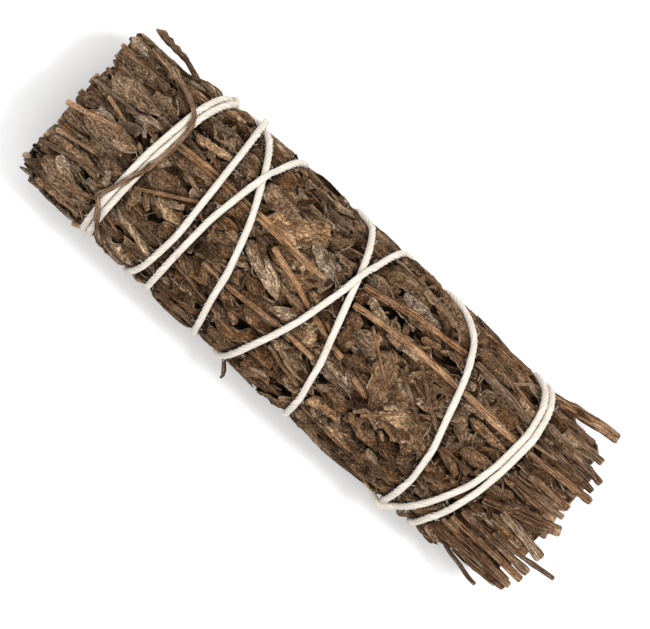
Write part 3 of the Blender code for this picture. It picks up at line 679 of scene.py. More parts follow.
@dataclass(frozen=True)
class Bunch:
    """The form that everything is rolled onto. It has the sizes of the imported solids."""

    axis_height: float = 15.0 * MM
    bound: float = 15.35 * MM
    leafy_end: float = -49.5 * MM
    stem_end: float = 46.5 * MM
    string: float = 0.75 * MM
    belly: float = 0.02
    ties: tuple[Triple, ...] = ((-36 * MM, 6 * MM, 0.02), (36 * MM, 7 * MM, 0.025))
    beside_long_stem: float = 5.5 * MM
    underside_press: float = 0.4 * MM
    floor_clearance: float = 0.05 * MM
    lanes: int = 12
    sway: float = math.radians(4)
    sway_length: float = 95 * MM

    @property
    def around(self) -> float:
        """The flat sheet's width, once round the bunch."""
        return TURN * self.bound

    def girth(self, x: Array) -> Array:
        """How thick the bunch is at x: fuller in the middle, pinched at the two ties."""
        pinch = sum(depth * bell(x - at, width) for at, width, depth in self.ties)
        return 1 + self.belly * np.cos(math.pi * x / (80 * MM)) - pinch

    def bound_radius(self, x: Array, angle: Array) -> Array:
        """The radius of the string's centreline: round, and flat underneath where the bunch rests."""
        radius, down = self.bound * self.girth(x), -np.cos(angle)
        flat = (self.axis_height - self.string) / np.maximum(down, 0.5)
        return np.where(down > 0.5, np.minimum(radius, flat), radius)

    def place(self, x: Array, angle: Array, radius: Array) -> Array:
        """The points at x, angle and radius."""
        x, angle, radius = np.broadcast_arrays(x, angle, radius)
        return np.stack((x, radius * np.sin(angle), self.axis_height + radius * np.cos(angle)), axis=-1)

    def raised(self, degrees: Array, x: Array, rise: Array) -> Array:
        """The points at degrees, millimetres along and millimetres above the string's radius."""
        angle = np.radians(degrees)
        return self.place(x * MM, angle, self.bound_radius(x * MM, angle) + rise * MM)

    def stem_reach(self, angle: Array | float) -> Array:
        """How far the cut stems reach: less beside the long stem."""
        off = (np.asarray(angle) + math.pi / 2) % TURN - math.pi
        return self.stem_end - self.beside_long_stem * bell(off, 0.42)

    def pressed(self, angle: Array) -> Array:
        """How much deeper foliage is pressed underneath."""
        return self.underside_press * np.clip((-np.cos(angle) - 0.6) / 0.25, 0, 1)

    def rolled(self, flat: Array, soft: bool = True) -> Array:
        """Rolls flat points round the bunch.

        Args:
            flat: Rows of distance along, distance round and height above the string's radius.
            soft: Whether the points are foliage, which is pressed deeper underneath.

        Returns:
            The points in space, none of them under the surface that the bunch rests on.
        """
        x, angle, rise = flat[..., 0], flat[..., 1] / self.bound, flat[..., 2]
        radius = self.bound_radius(x, angle) + rise
        if soft:
            radius = radius - self.pressed(angle)
        points = self.place(x, angle, radius)
        points[..., 2] = np.maximum(points[..., 2], self.floor_clearance)
        return points

    def lane_edge(self, k: float, x: Array | float) -> Array:
        """The angle of the border between two neighbouring outer stems."""
        sway = self.sway * np.sin(TURN * np.asarray(x) / self.sway_length + 4 * TURN * k / self.lanes)
        return math.pi * (2 * k - 1) / self.lanes + sway

    def lane_of(self, x: Array, angle: Array) -> Array:
        """The outer stem that each place belongs to.

        Args:
            x: The distances along.
            angle: The angles.

        Returns:
            The stems' numbers.
        """
        lane = np.zeros(np.shape(x), int)
        for k in range(self.lanes):
            start, end = self.lane_edge(k, x), self.lane_edge(k + 1, x)
            share = (angle - start + math.pi) % TURN - math.pi
            lane = np.where((share >= 0) & (share < end - start), k, lane)
        return lane


@dataclass
class StringRoute:
    """The centreline of the one string: its winding, lifted wherever it passes over itself."""

    bunch: Bunch
    clearance: float = -0.37 * MM
    slope: float = 0.42
    passes: int = 3

    def __post_init__(self) -> None:
        """Works out the winding's angles, places along the bunch and heights."""
        stops = [(degrees - 360 * turn, (x + SNUG[turn]) * MM)
                 for turn, turn_stops in enumerate(WINDING) for degrees, x in turn_stops]
        angles, along = np.array(stops, float).T
        self.degrees = np.arange(angles[0], angles[-1] - 0.5, -1.0)
        self.x = smoothed(np.interp(-self.degrees, -angles, along), 19)
        self.rise = self._crossing_rise()

    def _crossing_rise(self) -> Array:
        """How far each point is lifted to pass over the strands that were wound before it."""
        angle = np.radians(self.degrees)
        base = self.bunch.place(self.x, angle, self.bunch.bound_radius(self.x, angle))
        along = distances(base)
        reach = 2 * self.bunch.string + self.clearance
        lifts = np.zeros(len(base))
        for _ in range(self.passes):
            needed = np.zeros(len(base))
            for i in range(len(base)):
                earlier = int(np.searchsorted(along, along[i] - 8 * reach))
                gaps = np.linalg.norm(base[:earlier] - base[i], axis=1)
                near = gaps < reach
                if near.any():
                    needed[i] = (lifts[:earlier][near] + np.sqrt(reach**2 - gaps[near] ** 2)).max()
            lifts = needed.copy()
            for i in np.nonzero(needed)[0]:
                lifts = np.maximum(lifts, needed[i] - self.slope * np.abs(along - along[i]))
            lifts = smoothed(lifts, 9)
        return lifts

    def flat(self) -> Array:
        """The winding on the flat sheet."""
        return np.stack((self.x, np.radians(self.degrees) * self.bunch.bound, self.rise), axis=-1)

    def line(self) -> Array:
        """The winding in space."""
        points = self.bunch.rolled(self.flat(), soft=False)
        points[:, 2] = np.maximum(points[:, 2], self.bunch.string * 0.97)
        return points


@dataclass
class PressMap:
    """How high foliage may stand at each place of the flat sheet, and how high what lies there reaches."""

    bunch: Bunch
    cell: float = 0.3 * MM
    start: float = -54 * MM
    length: float = 112 * MM
    bed: float = -2.6 * MM
    crown_wave: float = 0.5 * MM
    dip: float = 1.5 * MM
    dip_width: float = 0.4
    dips: tuple[Triple, ...] = ((0.5, 36, 39), (0.5, -37.5, -40.5), (1.5, 37, 40))

    def __post_init__(self) -> None:
        """Starts with a soft, uneven crown and an empty bed."""
        self.rows = int(self.length / self.cell)
        self.columns = int(round(self.bunch.around / self.cell))
        s = self.start + (np.arange(self.rows)[:, None] + 0.5) * self.cell
        t = (np.arange(self.columns)[None, :] + 0.5) / self.columns * TURN
        wave = soft_wave(4.0, s / (17 * MM), np.sin(t) * 1.6, np.cos(t) * 1.6)
        fine = soft_wave(9.0, s / (8 * MM), np.sin(t) * 3.1, np.cos(t) * 3.1)
        self.roof = self.crown_wave * (0.6 * wave + 0.4 * fine)
        for side, first, last in self.dips:
            slide = np.clip((s / MM - first) / (last - first), 0, 1)
            self.roof = self.roof - self.dip * bell(t - side * math.pi, self.dip_width) * slide
        self.filled = self.bed + 0.3 * MM * fine

    def cells(self, s: Array, t: Array) -> tuple[Array, Array]:
        """The map's row and column for each place."""
        rows = np.clip(((s - self.start) / self.cell).astype(int), 0, self.rows - 1)
        columns = np.floor(t / self.bunch.around * self.columns).astype(int) % self.columns
        return rows, columns

    def hold_down(self, points: Array, reach: float, allowed: Callable[..., Any]) -> None:
        """Lowers the roof round each point.

        Args:
            points: Rows of distance along, distance round, height and thickness.
            reach: How far round a point the roof is lowered.
            allowed: A function of distance, height and thickness that gives the new roof.
        """
        span = int(reach / self.cell) + 1
        steps = np.arange(-span, span + 1)
        for s, t, height, thick in points:
            row = int((s - self.start) / self.cell) + steps
            column = int(math.floor(t / self.bunch.around * self.columns)) + steps
            ds = self.start + (row + 0.5) * self.cell - s
            dt = (column + 0.5) / self.columns * self.bunch.around - t
            distance = np.hypot(ds[:, None], dt[None, :])
            limit = np.where(distance <= reach, allowed(distance, height, thick), 1.0)
            window = np.ix_(np.clip(row, 0, self.rows - 1), column % self.columns)
            self.roof[window] = np.minimum(self.roof[window], limit)

    def fill(self, points: Array) -> None:
        """Raises what lies there to the height of these points."""
        np.maximum.at(self.filled, self.cells(points[:, 0], points[:, 1]), points[:, 2])

    def fill_tube(self, layer: Array, line: Array, radius: float) -> None:
        """Raises a layer to the top of a tube.

        Args:
            layer: The layer.
            line: The tube's flat centreline.
            radius: The tube's radius.
        """
        along = np.gradient(line[:, :2], axis=0)
        side = np.stack((-along[:, 1], along[:, 0]), axis=-1)
        side /= np.maximum(np.linalg.norm(side, axis=1, keepdims=True), TINY)
        for share in np.linspace(-0.9, 0.9, 7):
            at = line[:, :2] + side * share * radius
            np.maximum.at(layer, self.cells(at[:, 0], at[:, 1]), line[:, 2] + radius * math.sqrt(1 - share**2))

    def blurred(self, layer: Array, reach: float) -> Array:
        """A layer with each cell made the mean of what is round it.

        Args:
            layer: The layer.
            reach: About how far round it.

        Returns:
            The new layer.
        """
        steps = np.arange(-int(2 * reach / self.cell), int(2 * reach / self.cell) + 1)
        weights = bell(steps * self.cell, reach)
        weights /= weights.sum()
        rows = np.arange(self.rows)
        layer = sum(w * layer[np.clip(rows + k, 0, self.rows - 1)] for w, k in zip(weights, steps))
        return sum(w * np.roll(layer, -k, axis=1) for w, k in zip(weights, steps))

    def read(self, layer: Array, s: Array, t: Array) -> Array:
        """A layer's values, smoothed between cells.

        Args:
            layer: The layer.
            s: The distances along.
            t: The distances round.

        Returns:
            The values.
        """
        row = np.clip((s - self.start) / self.cell - 0.5, 0, self.rows - 1.001)
        column = (t / self.bunch.around * self.columns - 0.5) % self.columns
        r0, c0 = row.astype(int), column.astype(int) % self.columns
        fr, fc = row - r0, column - np.floor(column)
        c1 = (c0 + 1) % self.columns
        low = layer[r0, c0] * (1 - fc) + layer[r0, c1] * fc
        high = layer[r0 + 1, c0] * (1 - fc) + layer[r0 + 1, c1] * fc
        return low * (1 - fr) + high * fr


# ---- shapes that are laid many times ----


@dataclass(frozen=True)
class LeafShape:
    """One dried blade of unit length, closed, with its tip towards +X."""

    kind: LeafKind
    slenderness: float
    seed: int
    along: int = 11
    across: int = 7
    thickness: float = 0.028
    torn: float = 0.35

    def surface(self) -> Array:
        """The blade's upper side as rows of points from stalk to tip."""
        rng = random.Random(self.seed)
        u = np.linspace(0, 1, self.along)[:, None]
        v = np.linspace(-1, 1, self.across)[None, :]
        widest = rng.uniform(0.3, 0.5)
        blunt = rng.uniform(0.3, 0.75) if rng.random() < self.torn else rng.uniform(0.06, 0.2)
        grow = 0.2 + 0.8 * np.sqrt(np.clip(1 - (1 - np.minimum(u / widest, 1)) ** 2, 0, 1))
        shrink = 1 - (1 - blunt) * np.clip((u - widest) / (1 - widest), 0, 1) ** 2.3
        edge = np.where(v < 0, soft_wave(self.seed, u * 2.2), soft_wave(self.seed + 5, u * 2.2))
        torn = np.where(v < 0, soft_wave(self.seed + 9, u * 6.5), soft_wave(self.seed + 14, u * 6.5))
        half = grow * shrink * (1 + 0.18 * edge + 0.12 * torn) * self.slenderness / 2
        roll, fold, crumple, ribs = {
            LeafKind.OPEN: (rng.uniform(-0.6, 0.9), rng.uniform(-0.1, 0.3), 0.045, 0.010),
            LeafKind.FOLDED: (rng.uniform(0.3, 0.9), rng.uniform(0.5, 1.2), 0.028, 0.008),
            LeafKind.ROLLED: (rng.uniform(1.5, 2.4), rng.uniform(0.0, 0.2), 0.028, 0.008),
            LeafKind.CRUMPLED: (rng.uniform(-1.2, 1.4), rng.uniform(-0.4, 0.6), 0.090, 0.014),
            LeafKind.RIBBED: (0.9, 0.1, 0.010, 0.012),
        }[self.kind]
        arc = v * half
        bend = roll * (1 + 0.3 * np.sin(u * 3 + self.seed)) / (self.slenderness / 2)
        bend = np.where(np.abs(bend) < 1e-3, 1e-3, bend)
        y = np.sin(arc * bend) / bend
        z = -(1 - np.cos(arc * bend)) / bend - fold * np.abs(arc) + 0.012 * bell(v, 0.2)
        ribbed = 5 if self.kind is LeafKind.RIBBED else 3
        z = z + ribs * np.cos(v * math.pi * ribbed + 2.5 * soft_wave(self.seed + 3, u * 1.5))
        y = y / math.hypot(1, fold) + rng.uniform(-0.05, 0.05) * (2 * u - 1) ** 2
        z = z + rng.uniform(-0.05, 0.05) * (2 * u - 1) ** 2
        twist = rng.uniform(-0.7, 0.7) * (u - 0.5)
        y, z = y * np.cos(twist) - z * np.sin(twist), y * np.sin(twist) + z * np.cos(twist)
        points = np.stack((u - 0.5 + 0 * y, y, z), axis=-1)
        shift = Vector((self.seed * 3.7, 0, 0))
        moves = [noise.noise_vector(Vector(point) + shift) for point in points.reshape(-1, 3) * (4.5, 7.0, 4.0)]
        return points + np.reshape(moves, points.shape) * crumple * (0.5, 0.6, 1.0)

    def mesh(self, name: str) -> Mesh:
        """The closed blade, with its place on the blade as an attribute and its rim marked sharp.

        Args:
            name: The mesh's name.

        Returns:
            The mesh.
        """
        top = self.surface()
        normal = np.cross(np.gradient(top, axis=0), np.gradient(top, axis=1))
        normal /= np.maximum(np.linalg.norm(normal, axis=-1, keepdims=True), TINY)
        count = self.along * self.across
        faces = grid_faces(self.along, self.across)
        faces += [tuple(reversed(face)) for face in grid_faces(self.along, self.across, count)]
        numbers = np.arange(count).reshape(self.along, self.across)
        rim = [*numbers[0], *numbers[1:, -1], *numbers[-1, -2::-1], *numbers[-2:0:-1, 0]]
        rim = [int(number) for number in rim]
        faces += [(a, b, b + count, a + count) for a, b in zip(rim, rim[1:] + rim[:1])]
        mesh = new_mesh(name, np.stack((top, top - normal * self.thickness)), (), faces)
        u, v = np.meshgrid(np.linspace(0, 1, self.along), np.linspace(-1, 1, self.across), indexing="ij")
        blade = np.stack((u.ravel(), v.ravel(), np.ones(count)), axis=-1)
        # The third number is 1 on the upper side and 0 underneath; the finish paints shade underneath and on
        # the rim walls from it.
        store(mesh, "blade", np.concatenate((blade, blade * (1, 1, 0))), "FLOAT_VECTOR")
        lined = {LeafKind.OPEN: 0.2, LeafKind.CRUMPLED: 0.35, LeafKind.RIBBED: 1.0}.get(self.kind, 0.5)
        store(mesh, "lined", lined + 0.3 * (self.seed * GOLDEN % 1.0))
        face_outwards(mesh, 0.9)
        mesh.polygons.foreach_set("use_smooth", [True] * len(mesh.polygons))
        return mesh


@dataclass
class ShapeSet:
    """A numbered set of shapes for Geometry Nodes to pick from."""

    name: str
    shapes: Sequence[LeafShape]

    def __post_init__(self) -> None:
        """Builds each shape once, in a collection that isn't shown."""
        self.collection = bpy.data.collections.new(self.name)
        self.tops: list[Array] = []
        self.fine: list[Array] = []
        for number, shape in enumerate(self.shapes):
            label = f"{self.name}_{number:03d}"
            self.collection.objects.link(bpy.data.objects.new(label, shape.mesh(label)))
            top = shape.surface()
            self.tops.append(top.reshape(-1, 3))
            self.fine.append(self._finer(top, 3).reshape(-1, 3))

    @staticmethod
    def _finer(top: Array, times: int) -> Array:
        """The same surface with more points in it.

        Args:
            top: The surface.
            times: How many steps each step becomes.

        Returns:
            The finer surface.
        """
        for axis in (0, 1):
            count = top.shape[axis]
            at = np.linspace(0, count - 1, (count - 1) * times + 1)
            low = np.minimum(at.astype(int), count - 2)
            share = (at - low).reshape((-1, 1, 1) if axis == 0 else (1, -1, 1))
            top = np.take(top, low, axis) * (1 - share) + np.take(top, low + 1, axis) * share
        return top

    def remove(self) -> None:
        """Removes the shapes once everything has been laid."""
        for obj in list(self.collection.objects):
            bpy.data.objects.remove(obj)
        bpy.data.collections.remove(self.collection)


@dataclass(frozen=True)
class LaidLeaf:
    """A leaf or scrap: its place, its turn and size, its shape's number, its colour and the roof over it."""

    at: tuple[float, ...]
    turn: tuple[float, ...]
    size: tuple[float, ...]
    kind: int
    tone: float
    warmth: float
    rank: int = 0


def leaf_points(name: str, laid: Sequence[LaidLeaf]) -> Object:
    """An object whose vertices hold laid leaves.

    Args:
        name: The object's name.
        laid: The leaves.

    Returns:
        The object.
    """
    mesh = new_mesh(name, [leaf.at for leaf in laid])
    for label, kind in (("turn", "FLOAT_VECTOR"), ("size", "FLOAT_VECTOR"), ("kind", "INT"), ("tone", "FLOAT"),
                        ("warmth", "FLOAT"), ("rank", "FLOAT")):
        store(mesh, label, [getattr(leaf, label) for leaf in laid], kind)
    return shown(name, mesh)


@dataclass(frozen=True)
class Path:
    """One stem's line, with its thickness and colour."""

    points: Array
    radii: Array
    tone: float
    warmth: float


def path_mesh(name: str, paths: Sequence[Path]) -> Object:
    """An object that holds stems as rows of joined vertices.

    Args:
        name: The object's name.
        paths: The stems.

    Returns:
        The object.
    """
    points, edges, rows = [], [], []
    for number, path in enumerate(paths):
        first, count = len(points), len(path.points)
        points += path.points.tolist()
        edges += [(first + i, first + i + 1) for i in range(count - 1)]
        to_end = np.minimum(*(np.linalg.norm(path.points - path.points[i], axis=1) for i in (0, -1)))
        same = np.tile((path.tone, path.warmth, number * 1.7 + path.tone * 9), (count, 1))
        rows.append(np.column_stack((path.radii, same, np.exp(-to_end / (0.6 * MM)))))
    mesh = new_mesh(name, points, edges)
    for label, values in zip(("thick", "tone", "warmth", "phase", "tip"), np.concatenate(rows).T):
        store(mesh, label, values)
    return shown(name, mesh)


# ---- Geometry Nodes trees ----


class Trees:
    """The Geometry Nodes trees that lay leaves, grow stems and twist string."""

    def __init__(self) -> None:
        """Builds the three trees."""
        self.scatter = self._lay_leaves()
        self.stems = self._grow_stems()
        self.twine = self._twist_string()

    @staticmethod
    def _lay_leaves() -> Tree:
        """Lays one of a set of shapes on each point, turned and sized as the point says."""
        graph = Graph.group("lay_leaves", "Geometry", {
            "Places": "Geometry", "Shapes": "Collection", "Leaf Size": 1.0, "Loose Tilt": 0.03, "Seed": 3,
            "Finish": "Material"}, ["Leaves:Geometry"])
        get = graph.given
        shapes = graph.out("GeometryNodeCollectionInfo", {
            "Collection": get["Shapes"], "Separate Children": True, "Reset Children": True})
        low, high = (graph.scaled((side, side, 0), get["Loose Tilt"]) for side in (-1, 1))
        tilt = graph.out("FunctionNodeRandomValue", {"Min": low, "Max": high, "Seed": get["Seed"]},
                         data_type="FLOAT_VECTOR")
        turn = graph.vector("ADD", graph.named("turn", "FLOAT_VECTOR"), tilt)
        return graph.finish(graph.out("GeometryNodeInstanceOnPoints", {
            "Points": get["Places"], "Instance": shapes, "Pick Instance": True,
            "Instance Index": graph.named("kind", "INT"),
            "Rotation": graph.out("FunctionNodeEulerToRotation", {0: turn}),
            "Scale": graph.scaled(graph.named("size", "FLOAT_VECTOR"), get["Leaf Size"])}))

    @staticmethod
    def _ring(graph: Graph, sides: Any) -> Value:
        """A circle of unit radius that keeps each point's angle."""
        ring = graph.out("GeometryNodeCurvePrimitiveCircle", {"Resolution": sides, "Radius": 1.0})
        return graph.keep_as(ring, "angle", graph.out("GeometryNodeSplineParameter") * TURN)

    @staticmethod
    def _swept(graph: Graph, line: Value, ring: Value, radius: Value, start: Any) -> Value:
        """A ring swept along a line, which keeps the place on its skin.

        Args:
            graph: The graph.
            line: The line.
            ring: The ring.
            radius: The radius at each point of the line.
            start: What is added to the distance along, in millimetres.

        Returns:
            The mesh, whose skin holds the place round it and along it.
        """
        body = graph.out("GeometryNodeCurveToMesh", {"Curve": line, "Profile Curve": ring, "Fill Caps": True,
                                                     "Scale": radius})
        angle, along = graph.named("angle"), graph.named("along") * (1 / MM) + start
        skin = graph.combined(graph.maths("COSINE", angle), graph.maths("SINE", angle), along)
        return graph.keep_as(body, "skin", skin, "FLOAT_VECTOR")

    @classmethod
    def _grow_stems(cls) -> Tree:
        """Grows a ridged stem with swollen joints and cut ends along each path."""
        graph = Graph.group("grow_stems", "Geometry", {
            "Paths": "Geometry", "Sides": 12, "Ridges": 5.0, "Ridge Depth": 0.26, "Joint Spacing": 12 * MM,
            "Joint Height": 0.2, "Roughness": 0.36, "Seed": 5.0, "Finish": "Material"}, ["Stems:Geometry"])
        get = graph.given
        line = graph.out("GeometryNodeMeshToCurve", {0: get["Paths"]})
        line = graph.keep_as(line, "along", graph.out("GeometryNodeSplineParameter", output="Length"))
        line = graph.keep_as(line, "end", graph.out("GeometryNodeCurveEndpointSelection"))
        along, thick, phase = (graph.named(name) for name in ("along", "thick", "phase"))
        rod = cls._swept(graph, line, cls._ring(graph, get["Sides"]), thick, phase)
        ridges = graph.maths("COSINE", graph.named("angle") * get["Ridges"] + phase)
        ridges = ridges * (get["Ridge Depth"] * 0.5)
        joint = graph.maths("FRACT", (along + phase * (1.3 * MM)) / get["Joint Spacing"]) - 0.5
        joint = graph.maths("POWER", joint * (get["Joint Spacing"] / (0.8 * MM)), 2.0)
        joint = graph.maths("EXPONENT", joint * -1.0) * get["Joint Height"]
        place = graph.scaled(graph.out("GeometryNodeInputPosition"), 700.0)
        uneven = graph.out("ShaderNodeTexNoise", {
            "Vector": place, "W": get["Seed"], "Scale": 1.0, "Detail": 2.0}, noise_dimensions="4D")
        swell = ridges + joint + (uneven - 0.5) * get["Roughness"]
        offset = graph.scaled(graph.out("GeometryNodeInputNormal"), swell * thick)
        rod = graph.out("GeometryNodeSetPosition", {"Geometry": rod, "Offset": offset})
        side = graph.maths("LESS_THAN", graph.named("end"), 0.99)
        rod = graph.out("GeometryNodeSetShadeSmooth", {0: rod, "Shade Smooth": side}, domain="FACE")
        return graph.finish(rod)

    @classmethod
    def _twist_string(cls) -> Tree:
        """Twists yarns into a string along each path, with a little fuzz."""
        graph = Graph.group("twist_string", "Geometry", {
            "Paths": "Geometry", "Step": 0.42 * MM, "Yarns": 6, "Lay Length": 7 * MM, "Groove Depth": 0.22,
            "Slub": 0.26, "Fuzz Density": 0.7e6, "Fuzz Length": 0.75 * MM, "Fuzz Radius": 0.022 * MM,
            "Seed": 11, "Finish": "Material"}, ["String:Geometry"])
        get = graph.given
        line = graph.out("GeometryNodeMeshToCurve", {0: get["Paths"]})
        line = graph.out("GeometryNodeResampleCurve", {"Curve": line, "Length": get["Step"]}, mode="LENGTH")
        line = graph.keep_as(line, "along", graph.out("GeometryNodeSplineParameter", output="Length"))
        along = graph.named("along")
        uneven = graph.out("ShaderNodeTexNoise", {"W": along * 160.0, "Scale": 1.0, "Detail": 2.0},
                           noise_dimensions="1D")
        radius = graph.named("thick") * ((uneven - 0.5) * get["Slub"] + 1.0)
        turn = along * TURN / get["Lay Length"]
        line = graph.out("GeometryNodeSetCurveTilt", {"Curve": line, "Tilt": turn})
        lobe = graph.maths("FRACT", graph.out("GeometryNodeSplineParameter") * get["Yarns"])
        ring = cls._ring(graph, get["Yarns"] * 3.0)
        # The groove marks where the yarns meet: it dips the ring there and sets the shade painted into the
        # cotton.
        ring = graph.keep_as(ring, "groove", graph.maths("LESS_THAN", lobe, 0.2))
        dip = 1.0 - graph.named("groove") * get["Groove Depth"]
        place = graph.scaled(graph.out("GeometryNodeInputPosition"), dip)
        ring = graph.out("GeometryNodeSetPosition", {"Geometry": ring, "Position": place})
        cord = cls._swept(graph, line, ring, radius, 0.0)
        cord = graph.out("GeometryNodeSetShadeSmooth", {0: cord, "Shade Smooth": True}, domain="FACE")
        roots = graph.node("GeometryNodeDistributePointsOnFaces", distribute_method="RANDOM")
        for name, value in (("Mesh", cord), ("Density", get["Fuzz Density"]), ("Seed", get["Seed"])):
            graph.feed(roots.inputs[name], value)
        hair = graph.out("GeometryNodeCurveQuadraticBezier", {
            "Resolution": 3, "Start": (0, 0, 0), "Middle": graph.scaled((0.55, 0.1, 0.35), get["Fuzz Length"]),
            "End": graph.scaled((1.0, -0.1, 0.25), get["Fuzz Length"])})
        thin = graph.out("GeometryNodeCurvePrimitiveCircle", {"Resolution": 3, "Radius": get["Fuzz Radius"]})
        hair = graph.out("GeometryNodeCurveToMesh", {"Curve": hair, "Profile Curve": thin, "Fill Caps": True})
        spin = graph.out("FunctionNodeRandomValue", {"Min": (-0.5, -0.9, 0.0), "Max": (0.5, 0.3, 6.283),
                                                     "Seed": get["Seed"]}, data_type="FLOAT_VECTOR")
        stand = graph.out("FunctionNodeRotateRotation", {
            "Rotation": Value(graph, roots.outputs["Rotation"]),
            "Rotate By": graph.out("FunctionNodeEulerToRotation", {0: spin})}, rotation_space="LOCAL")
        size = graph.out("FunctionNodeRandomValue", {2: 0.4, 3: 1.3, "Seed": get["Seed"]}, 1, data_type="FLOAT")
        fuzz = graph.out("GeometryNodeInstanceOnPoints", {"Points": Value(graph, roots.outputs["Points"]),
                                                          "Instance": hair, "Rotation": stand, "Scale": size})
        whole = graph.node("GeometryNodeJoinGeometry")
        graph.feed(whole.inputs[0], cord)
        graph.feed(whole.inputs[0], fuzz)
        return graph.finish(Value(graph, whole.outputs[0]))


# ---- finishes ----


class Effects:
    """The shader groups that more than one finish uses."""

    def __init__(self) -> None:
        """Builds the groups."""
        self.shade_and_grey = self._shade_and_grey()
        self.fibre = self._fibre()

    @staticmethod
    def _shade_and_grey() -> Tree:
        """Paints shade on a colour as deep as it lies in the bunch, and greys it in patches."""
        graph = Graph.group("painted_shade_and_greying", "Shader", {
            "Color": (0.2, 0.12, 0.07, 1.0), "Depth": 0.0, "Shade": 0.7, "Patch Size": 1.0, "Greying": 0.3},
            ["Color:Color"])
        get = graph.given
        at = graph.scaled(graph.place(), graph.maths("DIVIDE", 1.0, get["Patch Size"]))
        patch = graph.between(graph.grain(at, 0.45, 4.0, 0.6), 0.42, 0.68)
        grey = graph.out("ShaderNodeHueSaturation", {"Saturation": 0.7, "Value": 1.1, "Color": get["Color"]})
        colour = graph.mixed(patch * get["Greying"], get["Color"], grey)
        # Painted shade: the colour is darkened by the depth in the bunch times the shade.
        light = graph.maths("SUBTRACT", 1.0, get["Depth"] * get["Shade"], clamp=True)
        graph.feed(graph.result.inputs["Color"], graph.scaled(colour, light))
        return graph.tree

    @staticmethod
    def _fibre() -> Tree:
        """Fine streaks that run along a stem or a yarn, read from its own skin."""
        graph = Graph.group("fibre_streaks", "Shader", {"Skin": "Vector", "Fineness": 3.0, "Stretch": 0.12},
                            ["Streak:Float", "Fleck:Float"])
        get = graph.given
        x, y, z = graph.parts(get["Skin"])
        at = graph.combined(x * get["Fineness"], y * get["Fineness"], z * get["Stretch"])
        fleck = graph.grain(graph.vector("MULTIPLY", at, (0.5, 0.5, 4.0)), 1.4, 3.0, 0.7)
        graph.feed(graph.result.inputs["Streak"], graph.grain(at, 1.0, 4.0, 0.6))
        graph.feed(graph.result.inputs["Fleck"], graph.between(fleck, 0.52, 0.72))
        return graph.tree


@dataclass(frozen=True)
class Finish:
    """A matt natural surface. Each finish says how its colour, the depth in the bunch that sets its painted
    shade, and its relief are made.
    """

    name: str
    roughness: float
    relief: float = 0.0
    # How strongly shade is painted by the depth in the bunch.
    shade: float = 1.0
    patch: float = 1.0
    greying: float = 0.2
    gloss: float = 0.05
    sheen: float = 0.0

    def started(self) -> tuple[bpy.types.Material, Graph, bpy.types.Node]:
        """A new material with this finish's constants, its graph and its shader."""
        made = bpy.data.materials.new(self.name)
        made.use_nodes = True
        shader = made.node_tree.nodes["Principled BSDF"]
        for label, value in (
                ("Metallic", 0.0), ("Roughness", self.roughness), ("Specular IOR Level", self.gloss),
                ("Sheen Weight", self.sheen), ("Sheen Roughness", 0.6)):
            shader.inputs[label].default_value = value
        return made, Graph(made.node_tree), shader

    def material(self, effects: Effects) -> bpy.types.Material:
        """The finished material.

        Args:
            effects: The shared shader groups.

        Returns:
            The material.
        """
        made, graph, shader = self.started()
        colour, depth, height = self.paint(graph, effects)
        # Painted shade by the depth in the bunch, and greying in patches.
        shaded_and_greyed = graph.out("ShaderNodeGroup", {
            "Color": colour, "Depth": depth, "Shade": self.shade, "Patch Size": self.patch,
            "Greying": self.greying}, node_tree=effects.shade_and_grey)
        graph.feed(shader.inputs["Base Color"], shaded_and_greyed)
        bump = graph.out("ShaderNodeBump", {"Height": height, "Distance": self.relief, "Strength": 1.0})
        graph.feed(shader.inputs["Normal"], bump)
        return made

    def paint(self, graph: Graph, effects: Effects) -> tuple[Value, Any, Value]:
        """The colour, the depth that sets the painted shade, and the height."""
        raise NotImplementedError


